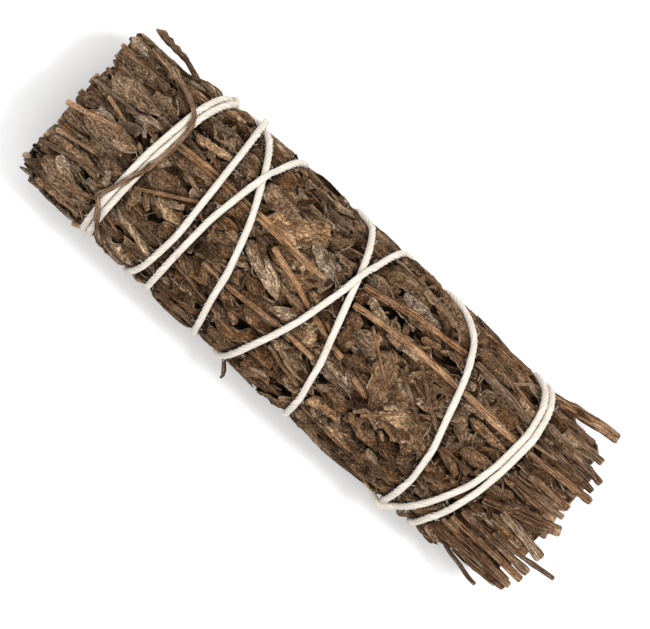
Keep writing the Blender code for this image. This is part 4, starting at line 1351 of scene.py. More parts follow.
@dataclass(frozen=True)
class LeafFinish(Finish):
    """Dried sage blades: pebbled and veined, from dark brown to tan and grey."""

    name: str = "dried_leaf"
    roughness: float = 0.78
    relief: float = 0.38 * MM
    shade: float = 0.97
    pebble: float = 2.4
    wrinkles: tuple[Pair, ...] = ((5.5, 2.4), (5.5, 7.5))
    warm: Ramp = ((0.0, (0.058, 0.021, 0.005)), (0.3, (0.201, 0.088, 0.030)), (0.6, (0.394, 0.196, 0.078)),
                  (0.85, (0.631, 0.354, 0.161)), (1.0, (0.832, 0.520, 0.270)))
    cool: Ramp = ((0.0, (0.048, 0.025, 0.012)), (0.3, (0.168, 0.102, 0.057)), (0.6, (0.324, 0.217, 0.140)),
                  (0.85, (0.526, 0.392, 0.278)), (1.0, (0.702, 0.560, 0.430)))
    vein: tuple[float, ...] = (0.36, 0.235, 0.135, 1.0)
    # The colour of the highlight painted on the blades' rims.
    rim: tuple[float, ...] = (0.50, 0.37, 0.245, 1.0)

    def paint(self, graph: Graph, effects: Effects) -> tuple[Value, Any, Value]:
        """Colours each blade by its own tone, with veins, pebbling and felt, painted light and shade that
        follow its relief, painted shade underneath and a painted highlight on its rims.

        Args:
            graph: The material's graph.
            effects: The shared shader groups; not used.

        Returns:
            The colour, the depth and the height.
        """
        at, tone, warmth = graph.place(), graph.read("tone"), graph.read("warmth")
        u, v, top = graph.parts(graph.read("blade", "Vector"))
        across = graph.maths("ABSOLUTE", v)
        felt = graph.grain(at, 3.0, 2.0, 0.6)
        creased_at, lined_at = (graph.combined(u * long, tone * 40.0 + v * wide, warmth * 30.0)
                                for long, wide in self.wrinkles)
        crease = graph.grain(creased_at, 1.0, 4.0, 0.65, 1.6)
        wrinkle = graph.grain(lined_at, 1.0, 3.0, 0.6, 1.2)
        lined = graph.read("lined")
        gully = graph.between(graph.maths("ABSOLUTE", wrinkle - 0.47), 0.0, 0.06, 1.0, 0.0) * lined
        wrinkle = graph.between(wrinkle, 0.42, 0.75) * lined
        shade = (graph.grain(at, 0.35, 3.0, 0.55) - 0.5) * 0.5 + tone
        # Painted light: the tone is lighter where the creases rise.
        shade = (crease - 0.5) * 0.5 + shade
        colour = graph.mixed(warmth, graph.ramp(shade, self.cool), graph.ramp(shade, self.warm))
        nudge = graph.scaled(graph.out("ShaderNodeTexNoise", {"Vector": at, "Scale": 1.4}, 1), 0.8)
        cells = graph.out("ShaderNodeTexVoronoi", {
            "Vector": graph.vector("ADD", at, nudge), "Scale": self.pebble}, feature="DISTANCE_TO_EDGE")
        pebbled = graph.between(graph.grain(at, 0.16, 1.0), 0.42, 0.6, 0.15, 1.0)
        pebble = graph.between(cells, 0.0, 0.2, -0.5, 0.5) * pebbled
        side = graph.between(graph.maths("SINE", u * 46.0 + across * -7.0), 0.35, 1.0)
        side = side * graph.between(across, 0.08, 0.3)
        rib = graph.between(across, 0.0, 0.16, 1.0, 0.0)
        # Painted light and shade that follow the bump relief: where felt, creases, wrinkles and pebbles rise
        # the colour is painted lighter, and in the gullies between wrinkles darker.
        light = graph.between(felt, 0.3, 0.7, 0.56, 1.68) * graph.between(crease, 0.34, 0.62, 0.42, 1.4)
        for detail, gain in ((wrinkle, 0.6), (gully, -0.7), (pebble, 0.3)):
            light = light * (detail * gain + 1.0)
        # Painted shade on the underside and the rim walls of each blade.
        colour = graph.scaled(colour, light * graph.between(top, 0.0, 1.0, 0.35, 1.0))
        colour = graph.mixed(graph.maths("MAXIMUM", rib * 0.28, side * 0.1), colour, self.vein)
        # A painted highlight along the rims of the blades, where they crease.
        rim = graph.between(across, 0.82, 0.98) * graph.between(crease, 0.38, 0.55)
        colour = graph.mixed(rim * 0.75, colour, self.rim)
        height = felt
        for detail, rise in ((pebble, 0.7), (rib, 1.2), (side, 0.35), (crease, 3.6), (wrinkle, 2.0),
                             (gully, -0.8), (graph.grain(at, 1.1, 2.0, 0.5), 1.4)):
            height = detail * rise + height
        return colour, graph.read("depth"), height


@dataclass(frozen=True)
class StemFinish(Finish):
    """Dried stems: streaked bark from grey-brown to tan, with pale pithy cut ends."""

    name: str = "stem_bark"
    roughness: float = 0.66
    relief: float = 0.19 * MM
    patch: float = 2.0
    warm: Ramp = ((0.0, (0.045, 0.015, 0.004)), (0.35, (0.165, 0.069, 0.026)), (0.7, (0.386, 0.191, 0.081)),
                  (1.0, (0.661, 0.382, 0.190)))
    cool: Ramp = ((0.0, (0.036, 0.020, 0.011)), (0.35, (0.135, 0.085, 0.052)), (0.7, (0.300, 0.212, 0.146)),
                  (1.0, (0.519, 0.408, 0.306)))
    wood: Ramp = ((0.15, (0.16, 0.10, 0.055)), (0.45, (0.42, 0.29, 0.17)), (0.95, (0.50, 0.35, 0.20)),
                  (1.15, (0.16, 0.10, 0.06)))
    flecks: tuple[float, ...] = (0.075, 0.045, 0.026, 1.0)

    def paint(self, graph: Graph, effects: Effects) -> tuple[Value, Any, Value]:
        """Colours each stem by its own tone, with long streaks and a paler cut end.

        Args:
            graph: The material's graph.
            effects: The shared shader groups.

        Returns:
            The colour, the depth and the height.
        """
        at, skin = graph.place(), graph.read("skin", "Vector")
        streak, fleck = graph.outs("ShaderNodeGroup", {"Skin": skin, "Fineness": 3.4, "Stretch": 0.36},
                                   node_tree=effects.fibre)
        mottle = graph.grain(at, 2.4, 3.0, 0.65)
        shade = (mottle - 0.5) * 0.8 + (graph.read("tone") + (streak - 0.497) * 3.1)
        along = graph.maths("ABSOLUTE", graph.parts(at)[0])
        cut = graph.read("tip") * graph.between(along, 42.0, 46.0, 0.1, 0.55)
        shade = shade + cut * graph.between(graph.grain(at, 0.35, 1.0), 0.42, 0.58)
        shade = graph.grain(at, 0.3, 2.0) * 0.8 - 0.4 + shade
        colour = graph.mixed(graph.read("warmth"), graph.ramp(shade, self.cool), graph.ramp(shade, self.warm))
        colour = graph.mixed(fleck * 0.6, colour, self.flecks)
        radial = graph.vector("LENGTH", graph.vector("MULTIPLY", skin, (1, 1, 0)), output="Value")
        wood = graph.ramp(radial + graph.grain(at, 4.0) * 0.3, self.wood)
        colour = graph.mixed(graph.between(graph.read("end"), 0.9, 0.99), colour, wood)
        return colour, graph.read("depth"), streak * 2.6 + (mottle - fleck)


@dataclass(frozen=True)
class CoreFinish(Finish):
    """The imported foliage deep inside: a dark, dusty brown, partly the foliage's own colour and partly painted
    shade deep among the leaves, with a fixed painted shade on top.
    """

    name: str = "packed_foliage"
    roughness: float = 0.95
    relief: float = 0.5 * MM
    shade: float = 0.5
    patch: float = 1.5
    # The fixed depth in the bunch, which sets the core's painted shade.
    depth: float = 0.3
    # Far darker than the leaves: partly the packed foliage's own brown, partly painted shade.
    crumbs: Ramp = ((0.3, (0.012, 0.006, 0.003)), (0.7, (0.050, 0.027, 0.014)))

    def paint(self, graph: Graph, effects: Effects) -> tuple[Value, Any, Value]:
        """A dark crumbly brown, partly painted shade, with a fixed depth that sets more painted shade."""
        crumbs = graph.grain(graph.vector("MULTIPLY", graph.place(), (0.45, 1.0, 1.0)), 1.6, 5.0, 0.65)
        return graph.ramp(crumbs, self.crumbs), self.depth, crumbs


@dataclass(frozen=True)
class CottonFinish(Finish):
    """Soft cream cotton string with fine fibres."""

    name: str = "cotton"
    roughness: float = 0.9
    relief: float = 0.08 * MM
    shade: float = 0.0
    patch: float = 3.0
    greying: float = 0.15
    sheen: float = 0.25
    cream: Ramp = ((0.3, (0.59, 0.505, 0.405)), (0.5, (0.79, 0.715, 0.62)), (0.7, (0.91, 0.86, 0.795)))
    # The colour of the shade painted between the yarns.
    groove: tuple[float, ...] = (0.47, 0.40, 0.315, 1.0)
    soil: tuple[float, ...] = (0.62, 0.53, 0.41, 1.0)

    def paint(self, graph: Graph, effects: Effects) -> tuple[Value, Any, Value]:
        """Cream, with shade painted between the yarns, and with fine fibre streaks.

        Args:
            graph: The material's graph.
            effects: The shared shader groups.

        Returns:
            The colour, the depth and the height.
        """
        streak = graph.out("ShaderNodeGroup", {"Skin": graph.read("skin", "Vector"), "Fineness": 7.0,
                                               "Stretch": 0.9}, node_tree=effects.fibre)
        soil = graph.between(graph.grain(graph.place(), 0.16, 3.0, 0.6), 0.45, 0.75)
        # Painted shade in the grooves between the yarns.
        colour = graph.mixed(graph.read("groove") * 0.6, graph.ramp(streak, self.cream), self.groove)
        return graph.mixed(soil * 0.25, colour, self.soil), 0.0, streak


@dataclass(frozen=True)
class FloorFinish(Finish):
    """A plain pale surface."""

    name: str = "pale_floor"
    roughness: float = 0.9
    colour: tuple[float, ...] = (0.97, 0.97, 0.97, 1.0)

    def material(self, effects: Effects) -> bpy.types.Material:
        """The finished material, which needs no effects."""
        made, _, shader = self.started()
        shader.inputs["Base Color"].default_value = self.colour
        return made


@dataclass
class Finishes:
    """Every material, made once."""

    effects: Effects

    def __post_init__(self) -> None:
        """Makes the materials."""
        self.leaf, self.stem, self.core, self.cotton, self.floor = (
            finish().material(self.effects)
            for finish in (LeafFinish, StemFinish, CoreFinish, CottonFinish, FloorFinish))


# ---- laying out the foliage ----


class Roof(Enum):
    """What a leaf or stem is pressed under."""

    STRING = 0
    STRING_AND_STEMS = 1
    ALL = 2


@dataclass
class Foliage:
    """Lays leaves and stems on the flat sheet: first what is seen by name, then layers by rule."""

    bunch: Bunch
    route: StringRoute
    seed: int = 1907
    string_hold: float = -0.58 * MM
    string_bulge: float = 1.7 * MM
    string_reach: float = 2.5 * MM
    stem_height: float = -0.75 * MM
    overlap: float = 0.5 * MM
    loft: Pair = (0.14 * MM, 0.36 * MM)
    leaf_lengths: Pair = (5.0 * MM, 10.5 * MM)
    layers: tuple[tuple[int, float], ...] = ((480, 0.35), (580, 0.5), (640, 0.75))
    layer_step: int = 977
    cut_start: float = 37.5 * MM
    leafy_start: float = -39 * MM
    buried: int = 64
    rods: tuple[tuple[int, int], ...] = ((1, 38), (-1, 26))
    scraps: int = 560
    calyxes: int = 70
    loose_twigs: int = 130
    curls: int = 60
    # How the shade painted in gaps is worked out: how far round the mean level is taken, and where and how fast
    # the painted shade starts.
    hollow_reach: float = 1.1 * MM
    hollow_start: float = 0.04 * MM
    hollow_span: float = 0.85 * MM

    def __post_init__(self) -> None:
        """Sets up the map, the shapes and the lists."""
        self.rng = random.Random(self.seed)
        noise.seed_set(self.seed)
        self.map = PressMap(self.bunch)
        kinds = [LeafKind.OPEN] * 7 + [LeafKind.FOLDED] * 10 + [LeafKind.ROLLED] * 8 + [LeafKind.CRUMPLED] * 11
        wider = {LeafKind.ROLLED: 1.3}
        shapes = [LeafShape(kind, self.rng.uniform(0.34, 0.62) * wider.get(kind, 1.0), 20 + i)
                  for i, kind in enumerate(kinds)]
        self.common = len(shapes)
        shapes += [LeafShape(shape.kind, shape.slenderness, 60 + i, along=7, across=5)
                   for i, shape in enumerate(shapes[::3])]
        self.plain = len(shapes)
        shapes += [LeafShape(LeafKind.CRUMPLED if i % 2 else LeafKind.OPEN, self.rng.uniform(0.35, 0.8), 90 + i,
                             along=5, across=4, thickness=0.07, torn=1.0) for i in range(10)]
        self.small = len(shapes)
        shapes += [LeafShape(kind, place[4] / place[3], 200 + i, along=25, across=13, thickness=0.026,
                             torn=0.6 if kind is LeafKind.OPEN else 0.3)
                   for i, (kind, _, place) in enumerate(SHOWN_LEAVES)]
        self.shapes = ShapeSet("sage_leaf", shapes)
        self.laid: list[LaidLeaf] = []
        self.paths: list[tuple[int, Path]] = []
        self.fine_paths: list[tuple[int, Path]] = []
        self.tubes: list[tuple[Array, float]] = []
        self.roofs: dict[Roof, Array] = {}

    def lay_out(self) -> None:
        """Lays everything, from the string down and then from the bed up."""
        steps = (self._press_under_string, self._shown_stems, self._shown_leaves)
        for roof, step in zip(Roof, steps):
            step()
            self.roofs[roof] = self.map.roof.copy()
        self._buried_stems()
        for number, (count, bare) in enumerate(self.layers):
            self._layer(number, count, bare)
        self._calyxes()
        self._scraps()
        self._loose_twigs()
        self._find_hollows()

    def _find_hollows(self) -> None:
        """Works out the mean level of leaves, stems and string round each place, which sets the shade painted
        in gaps.
        """
        crown = self.map.filled.copy()
        # The string and the stems raise the level, so that a painted shadow lies on the leaves beside them.
        for line, radius in [*self.tubes, (self.route.flat(), 0.6 * MM)]:
            self.map.fill_tube(crown, line, radius)
        self.level = self.map.blurred(crown, self.hollow_reach)

    def gap_shade(self, points: Array) -> Array:
        """How deep points lie among what is round them, from 0, proud, to 1, in a gap, which sets the shade
        painted on them.
        """
        x, y, up = points[:, 0], points[:, 1], points[:, 2] - self.bunch.axis_height
        angle = np.arctan2(y, up)
        rise = np.hypot(y, up) - self.bunch.bound_radius(x, angle) + self.bunch.pressed(angle)
        level = self.map.read(self.level, x, angle * self.bunch.bound)
        return np.clip((level + self.hollow_start - rise) / self.hollow_span, 0, 1)

    def _press_under_string(self) -> None:
        """Lowers the roof under each strand of the string."""
        flat = self.route.flat()
        strands = np.column_stack((flat, np.full(len(flat), self.bunch.string)))
        self.map.hold_down(strands, 6 * MM, lambda distance, height, thick: (
            self.string_hold + self.string_bulge * (1 - bell(distance, self.string_reach))))

    def _stem_line(self, stops: Sequence[Pair], radius: float, height: float, seed: float) -> Array:
        """A stem's flat centreline, bending under the string.

        Args:
            stops: Places as metres along and metres round.
            radius: The stem's radius.
            height: How high its centre lies where nothing holds it down.
            seed: Chooses its small bends.

        Returns:
            Rows of distance along, distance round and height, about every millimetre.
        """
        corners = np.array(stops, float)
        lengths = distances(corners)
        at = np.linspace(0, lengths[-1], max(6, int(lengths[-1] / (0.9 * MM))))
        line = np.column_stack([np.interp(at, lengths, column) for column in corners.T])
        if len(corners) > 2:
            line = np.column_stack([smoothed(column, 9, mode="reflect", reflect_type="odd")
                                    for column in line.T])
        along = (corners[-1] - corners[0]) / max(lengths[-1], TINY)
        side = np.array((-along[1], along[0]))
        line = line + side * (0.13 * MM * soft_wave(seed, at / (12 * MM)))[:, None]
        roof = self.map.read(self.map.roof, line[:, 0], line[:, 1])
        top = np.minimum(height + 0.1 * MM * soft_wave(seed + 2, at / (8 * MM)), roof - radius + 0.12 * MM)
        return np.column_stack((line, smoothed(top, 7)))

    def _add_stem(self, line: Array, radii: Array, tone: float, warmth: float) -> None:
        """Adds a stem, with its ends worn a little thinner."""
        start, end = line[0] + (line[1] - line[0]) * 0.3, line[-1] - (line[-1] - line[-2]) * 0.3
        line = np.vstack((line[0], start, line[1:-1], end, line[-1]))
        radii = np.concatenate((radii[:1] * 0.8, radii[:1], radii[1:-1], radii[-1:], radii[-1:] * 0.8))
        self._note(self.paths, line, radii, tone, warmth)
        self.tubes.append((line, float(radii.mean())))

    def _note(self, paths: list[tuple[int, Path]], line: Array, radii: Array, tone: float,
              warmth: float) -> None:
        """Rolls a flat line onto the bunch and adds it to a list with its outer stem's number."""
        middle = line[len(line) // 2]
        lane = int(self.bunch.lane_of(middle[0], middle[1] / self.bunch.bound))
        paths.append((lane, Path(self.bunch.rolled(line), radii, tone, warmth)))

    def _shown_stems(self) -> None:
        """Lays the stems that show, and keeps leaves from covering them."""
        for number, ((tone, warmth, radius), stops) in enumerate(SHOWN_STEMS):
            flat = [(x * MM, math.radians(degrees) * self.bunch.bound) for x, degrees in stops]
            free = max(abs(stops[0][0]), abs(stops[-1][0])) > 47
            line = self._stem_line(flat, radius * MM, self.stem_height - (0.25 * MM if free else 0.0), number)
            radii = radius * MM * (1 + 0.06 * soft_wave(number + 3, np.linspace(0, 1, len(line)) * 2))
            self._add_stem(line, radii, tone, warmth)
            held = np.column_stack((line, radii))
            fine = np.concatenate([held[:-1] + (held[1:] - held[:-1]) * step for step in (0, 0.34, 0.67)])
            self.map.hold_down(fine, 2.6 * MM, lambda distance, height, thick: (
                height - 0.3 * thick + np.maximum(0, distance - 0.75 * thick) * 1.1))

    def _shown_leaves(self) -> None:
        """Lays the large leaves that show, and keeps other leaves from covering them."""
        for number, (_, (tone, warmth), (x, degrees, yaw, length, _)) in enumerate(SHOWN_LEAVES):
            kind = self.small + number
            turn = (self.rng.gauss(0, 0.08), self.rng.gauss(-0.03, 0.04), math.radians(yaw))
            size = (length * MM,) * 3
            spot = (x * MM, math.radians(degrees) * self.bunch.bound)
            local = self.shapes.fine[kind] * size @ turned(*turn).T
            roof = self.map.read(self.map.roof, local[:, 0] + spot[0], local[:, 1] + spot[1])
            rise = float(min(-0.25 * MM, np.percentile(roof - local[:, 2], 45)))
            rank = Roof.STRING_AND_STEMS.value
            self.laid.append(LaidLeaf((*spot, rise), turn, size, kind, tone, warmth, rank))
            points = local + (*spot, rise)
            points[:, 2] = np.minimum(points[:, 2], roof) - 0.45 * MM
            held = np.column_stack((points, np.zeros(len(points))))
            self.map.hold_down(held[::2], 0.45 * MM, lambda distance, height, thick: height + 0 * distance)

    def _bury(self, stops: Sequence[Pair], radius: float, height: float, seed: float,
              tones: Pair) -> None:
        """Lays one stem that leaves partly cover.

        Args:
            stops: Its two ends as metres along and metres round.
            radius: Its radius.
            height: How high its centre lies.
            seed: Chooses its small bends.
            tones: The range that its tone is taken from.
        """
        line = self._stem_line(stops, radius, height, seed)
        self._add_stem(line, np.full(len(line), radius), self.rng.uniform(*tones), self.rng.random())
        self.map.fill(line + (0, 0, 0.8 * radius))

    def _buried_stems(self) -> None:
        """Lays stems all round under the leaves, and bare rods at the two ends."""
        rng, bunch = self.rng, self.bunch
        for number in range(self.buried):
            degrees = number * 137.508 % 360 + rng.uniform(-4, 4)
            x = rng.uniform(-46, 24) * MM
            length = rng.uniform(9, 20) * MM
            drift = math.radians(rng.gauss(0, 15))
            start = (x, math.radians(degrees) * bunch.bound)
            end = (min(x + length, 45 * MM), start[1] + length * math.tan(drift))
            radius = rng.uniform(0.28, 0.6) * MM
            self._bury((start, end), radius, rng.uniform(-1.4, -0.8) * MM, number + 0.3, (0.25, 0.75))
        for side, count in self.rods:
            for number in range(count):
                degrees = number * 360 / count + rng.uniform(-3, 3)
                if side > 0:
                    tip = float(bunch.stem_reach(math.radians(degrees))) + rng.uniform(-1.0, 3.0) * MM
                else:
                    tip = bunch.leafy_end - rng.uniform(0.1, 1.7) * MM
                root = tip - side * rng.uniform(9, 14) * MM
                t = math.radians(degrees) * bunch.bound
                radius = (rng.uniform(0.45, 0.9) if side > 0 else rng.uniform(0.25, 0.45)) * MM
                height = rng.uniform(-2.8, -1.5) * MM
                stops = ((root, t + rng.gauss(0, 0.9) * MM), (tip, t))
                self._bury(stops, radius, height, number + 40.5, (0.2, 0.6))

    def _tone_at(self, s: float, t: float) -> Pair:
        """A leaf's tone and warmth: by chance, and drifting along the bunch."""
        angle = t / self.bunch.bound
        drift = float(soft_wave(6.0, s / (15 * MM), math.sin(angle) * 1.5, math.cos(angle) * 1.5))
        grey_end = 0.36 * (1 - math.tanh((s + 36 * MM) / (6 * MM))) / 2
        tone = min(1.0, max(0.0, self.rng.betavariate(1.7, 2.0) + 0.08 * drift + 0.4 * grey_end))
        return tone, min(1.0, max(0.0, self.rng.gauss(0.56 - grey_end + 0.15 * drift, 0.2)))

    def _scattered(self, number: int, start: float, length: float) -> Pair:
        """A place along and round; places with numbers in a row are spread evenly."""
        along, share = number * SPREAD_ALONG % 1.0, number * SPREAD_ROUND % 1.0
        return start + length * along, self.bunch.around * share

    def _layer(self, number: int, count: int, bare: float) -> None:
        """Lays one layer of leaves on what lies there already.

        Args:
            number: The layer, 0 for the deepest.
            count: How many places it has.
            bare: The share of the places on the stripped stems that get no leaf.
        """
        rng = self.rng
        first, last = self.bunch.leafy_end, self.bunch.stem_end
        for i in range(count):
            s, t = self._scattered(i + 1 + self.layer_step * number, first, last - first)
            s += rng.uniform(-1, 1) * MM
            cut_end, leafy = s > self.cut_start, s < self.leafy_start
            covered = math.cos(t / self.bunch.bound - 0.75) >= 0.8
            if cut_end and rng.random() < bare * (0.35 if covered else 1.0):
                continue
            spread = math.radians(9 if cut_end else 13 if leafy else 25)
            yaw = rng.gauss(0, spread) + (math.pi if rng.random() < 0.55 else 0.0)
            length = rng.uniform(*self.leaf_lengths) * (0.8 if cut_end or leafy else 1.0)
            choice = (0, self.common) if number else (self.common, self.plain)
            kind = rng.randrange(*choice)
            if cut_end and self.shapes.shapes[kind].kind in (LeafKind.OPEN, LeafKind.CRUMPLED):
                kind = rng.randrange(*choice)
            size = (length, length * rng.uniform(0.8, 1.2), length * rng.uniform(0.8, 1.1))
            turn = (rng.gauss(0, 0.22), rng.gauss(-0.06, 0.07), yaw)
            half = 0.5 * length * abs(math.cos(yaw))
            reach = float(self.bunch.stem_reach(t / self.bunch.bound))
            s = min(max(s, first - 1.1 * MM + half), reach + 1.5 * MM - half)
            self._lay(kind, (s, t), turn, size, Roof.ALL, 72 if number else 60)

    def _lay(self, kind: int, spot: Pair, turn: Triple,
             size: Triple, roof_kind: Roof, settle: float) -> None:
        """Lays one leaf on what is there, no higher than its roof.

        Args:
            kind: The shape's number.
            spot: Its place along and round.
            turn: Its roll, pitch and yaw.
            size: Its scale.
            roof_kind: The roof that presses it.
            settle: The percentage of its underside that rests above what is there.
        """
        spin = turned(*turn).T
        local = self.shapes.tops[kind] * size @ spin
        s, t = local[:, 0] + spot[0], local[:, 1] + spot[1]
        bed = self.map.read(self.map.filled, s, t)
        roof = self.map.read(self.roofs[roof_kind], s, t)
        rise = float(np.percentile(bed - local[:, 2], settle)) + 0.22 * MM
        rise = min(rise, float(np.percentile(roof - local[:, 2], 45)) + self.overlap)
        self.laid.append(LaidLeaf((*spot, rise), turn, size, kind, *self._tone_at(*spot), roof_kind.value))
        points = self.shapes.fine[kind] * size @ spin + (*spot, rise)
        roof = self.map.read(self.roofs[roof_kind], points[:, 0], points[:, 1])
        points[:, 2] = np.minimum(points[:, 2], roof + self.overlap)
        self.map.fill(points)

    def _calyxes(self) -> None:
        """Lays small dried calyxes: a few pointed lobes that spread from one spot."""
        rng = self.rng
        for i in range(self.calyxes):
            s, t = self._scattered(i + 3, -46 * MM, 88 * MM)
            facing, lobes = rng.gauss(0, 0.7), rng.randint(4, 6)
            for lobe in range(lobes):
                yaw = facing + (lobe - lobes / 2) * rng.uniform(0.4, 0.7)
                length = rng.uniform(2.6, 4.6) * MM
                spot = (s + 0.45 * length * math.cos(yaw), t + 0.45 * length * math.sin(yaw))
                kind = rng.randrange(self.plain, self.small)
                size = (length, length * rng.uniform(0.45, 0.7), length)
                turn = (rng.gauss(0, 0.4), -rng.uniform(0.0, 0.45), yaw)
                self._lay(kind, spot, turn, size, Roof.STRING_AND_STEMS, 55)

    def _scraps(self) -> None:
        """Lays small torn scraps."""
        rng = self.rng
        for i in range(self.scraps):
            spot = self._scattered(i + 7, -49.5 * MM, 96 * MM)
            kind = rng.randrange(self.plain, self.small)
            length = rng.uniform(1.6, 4.2) * MM
            size = (length, length * rng.uniform(0.5, 1.2), length)
            turn = (rng.gauss(0, 0.5), rng.gauss(0, 0.3), rng.gauss(0, 0.6) + rng.choice((0, math.pi)))
            self._lay(kind, spot, turn, size, Roof.STRING_AND_STEMS, 60)

    def _loose_twigs(self) -> None:
        """Lays thin twigs, leaf stalks and curled fibres over the leaves."""
        rng = self.rng
        for i in range(self.loose_twigs + self.curls):
            curled = i >= self.loose_twigs
            s, t = self._scattered(i + 5, -48 * MM, 92 * MM)
            length = rng.uniform(2.5, 6) * MM if curled else rng.uniform(3.5, 10) * MM
            radius = rng.uniform(0.07, 0.13) * MM if curled else rng.uniform(0.14, 0.32) * MM
            spread = 0.9 if curled else 0.25 if s > 37 * MM or s < -40 * MM else 0.55
            yaw, bend = rng.gauss(0, spread), rng.gauss(0, 3.2 if curled else 0.5)
            at = np.linspace(0, 1, 12 if curled else 8)
            heading = yaw + bend * (at - 0.5)
            step = length / (len(at) - 1)
            line = np.stack((np.cos(heading), np.sin(heading)), axis=-1).cumsum(axis=0) * step + (s, t)
            line = line - (0.5 * length * math.cos(yaw), 0.5 * length * math.sin(yaw))
            line[:, 0] = np.clip(line[:, 0], self.bunch.leafy_end - MM, self.bunch.stem_end)
            bed = self.map.read(self.map.filled, line[:, 0], line[:, 1])
            roof = self.map.read(self.roofs[Roof.STRING_AND_STEMS], line[:, 0], line[:, 1])
            lift = 0.5 * bed + 0.5 * float(np.percentile(bed, 70)) + 0.6 * radius
            if curled:
                lift = lift + 0.35 * MM * np.sin(at * math.pi) * rng.random()
            height = smoothed(np.minimum(lift, roof + 0.1 * MM), 5)
            tone = rng.uniform(0.45, 1.0) if curled else rng.uniform(0.2, 0.85)
            self._note(self.fine_paths, np.column_stack((line, height)), radius * (1.1 - 0.5 * at), tone,
                       rng.gauss(0.6, 0.2))

    def press(self, flat: Array, rank: Array) -> Array:
        """Presses flat points under the roof of their rank, keeping what was higher a little higher.

        Args:
            flat: Rows of distance along, distance round and height.
            rank: The number of the roof over each.

        Returns:
            The pressed points.
        """
        points = flat.copy()
        held, free = self.loft
        for roof_kind, roof in self.roofs.items():
            mine = np.rint(rank) == roof_kind.value
            limit = self.map.read(roof, points[mine, 0], points[mine, 1])
            over = points[mine, 2] - limit
            loft = held + (free - held) * np.clip((limit + 0.45 * MM) / (0.5 * MM), 0, 1)
            points[mine, 2] = np.where(over > 0, limit + loft * np.tanh(over / (0.7 * MM)), points[mine, 2])
        return points


# ---- the pieces ----


@dataclass
class Workshop:
    """What every piece is built with."""

    bunch: Bunch
    foliage: Foliage
    trees: Trees
    finishes: Finishes

    def leaves(self, name: str, laid: Sequence[LaidLeaf], seed: int, flat: bool) -> Mesh:
        """The mesh of some laid leaves.

        Args:
            name: The mesh's name.
            laid: The leaves.
            seed: Chooses their loose tilt.
            flat: Whether they lie on the flat sheet and are pressed and rolled.

        Returns:
            The mesh.
        """
        mesh = shaped(leaf_points(name, laid), self.trees.scatter, {
            "Shapes": self.foliage.shapes.collection, "Seed": seed, "Finish": self.finishes.leaf})
        if flat:
            move_to(mesh, self.bunch.rolled(self.foliage.press(places(mesh), stored(mesh, "rank"))))
            # The depth among what is round each point, which sets the shade painted on the leaves.
            store(mesh, "depth", self.foliage.gap_shade(places(mesh)))
        return mesh

    def stems(self, name: str, paths: Sequence[Path], sides: int = 12, **values: float) -> Mesh:
        """The mesh of some stems.

        Args:
            name: The mesh's name.
            paths: Their lines.
            sides: How many sides each has.
            values: Other inputs of the tree, with underscores for spaces.

        Returns:
            The mesh.
        """
        inputs = {key.replace("_", " "): value for key, value in values.items()}
        mesh = shaped(path_mesh(name, paths), self.trees.stems,
                      {"Sides": sides, "Finish": self.finishes.stem, **inputs})
        # The depth among what is round each point, which sets the shade painted on the stems.
        store(mesh, "depth", 0.95 * self.foliage.gap_shade(keep_above(mesh, self.bunch.floor_clearance)))
        return mesh

    def core(self, name: str, rings: Sequence[Sequence[Array]]) -> Mesh:
        """A closed body of packed foliage.

        Args:
            name: The mesh's name.
            rings: Its rings of points, from end to end.

        Returns:
            The mesh.
        """
        rows, columns = len(rings), len(rings[0])
        faces = grid_faces(rows, columns, closed=True)
        faces += [tuple(range(columns)), tuple(range(rows * columns - 1, (rows - 1) * columns - 1, -1))]
        mesh = new_mesh(name, rings, (), faces)
        face_outwards(mesh)
        mesh.materials.append(self.finishes.core)
        store(mesh, "depth", 1.0)
        return mesh


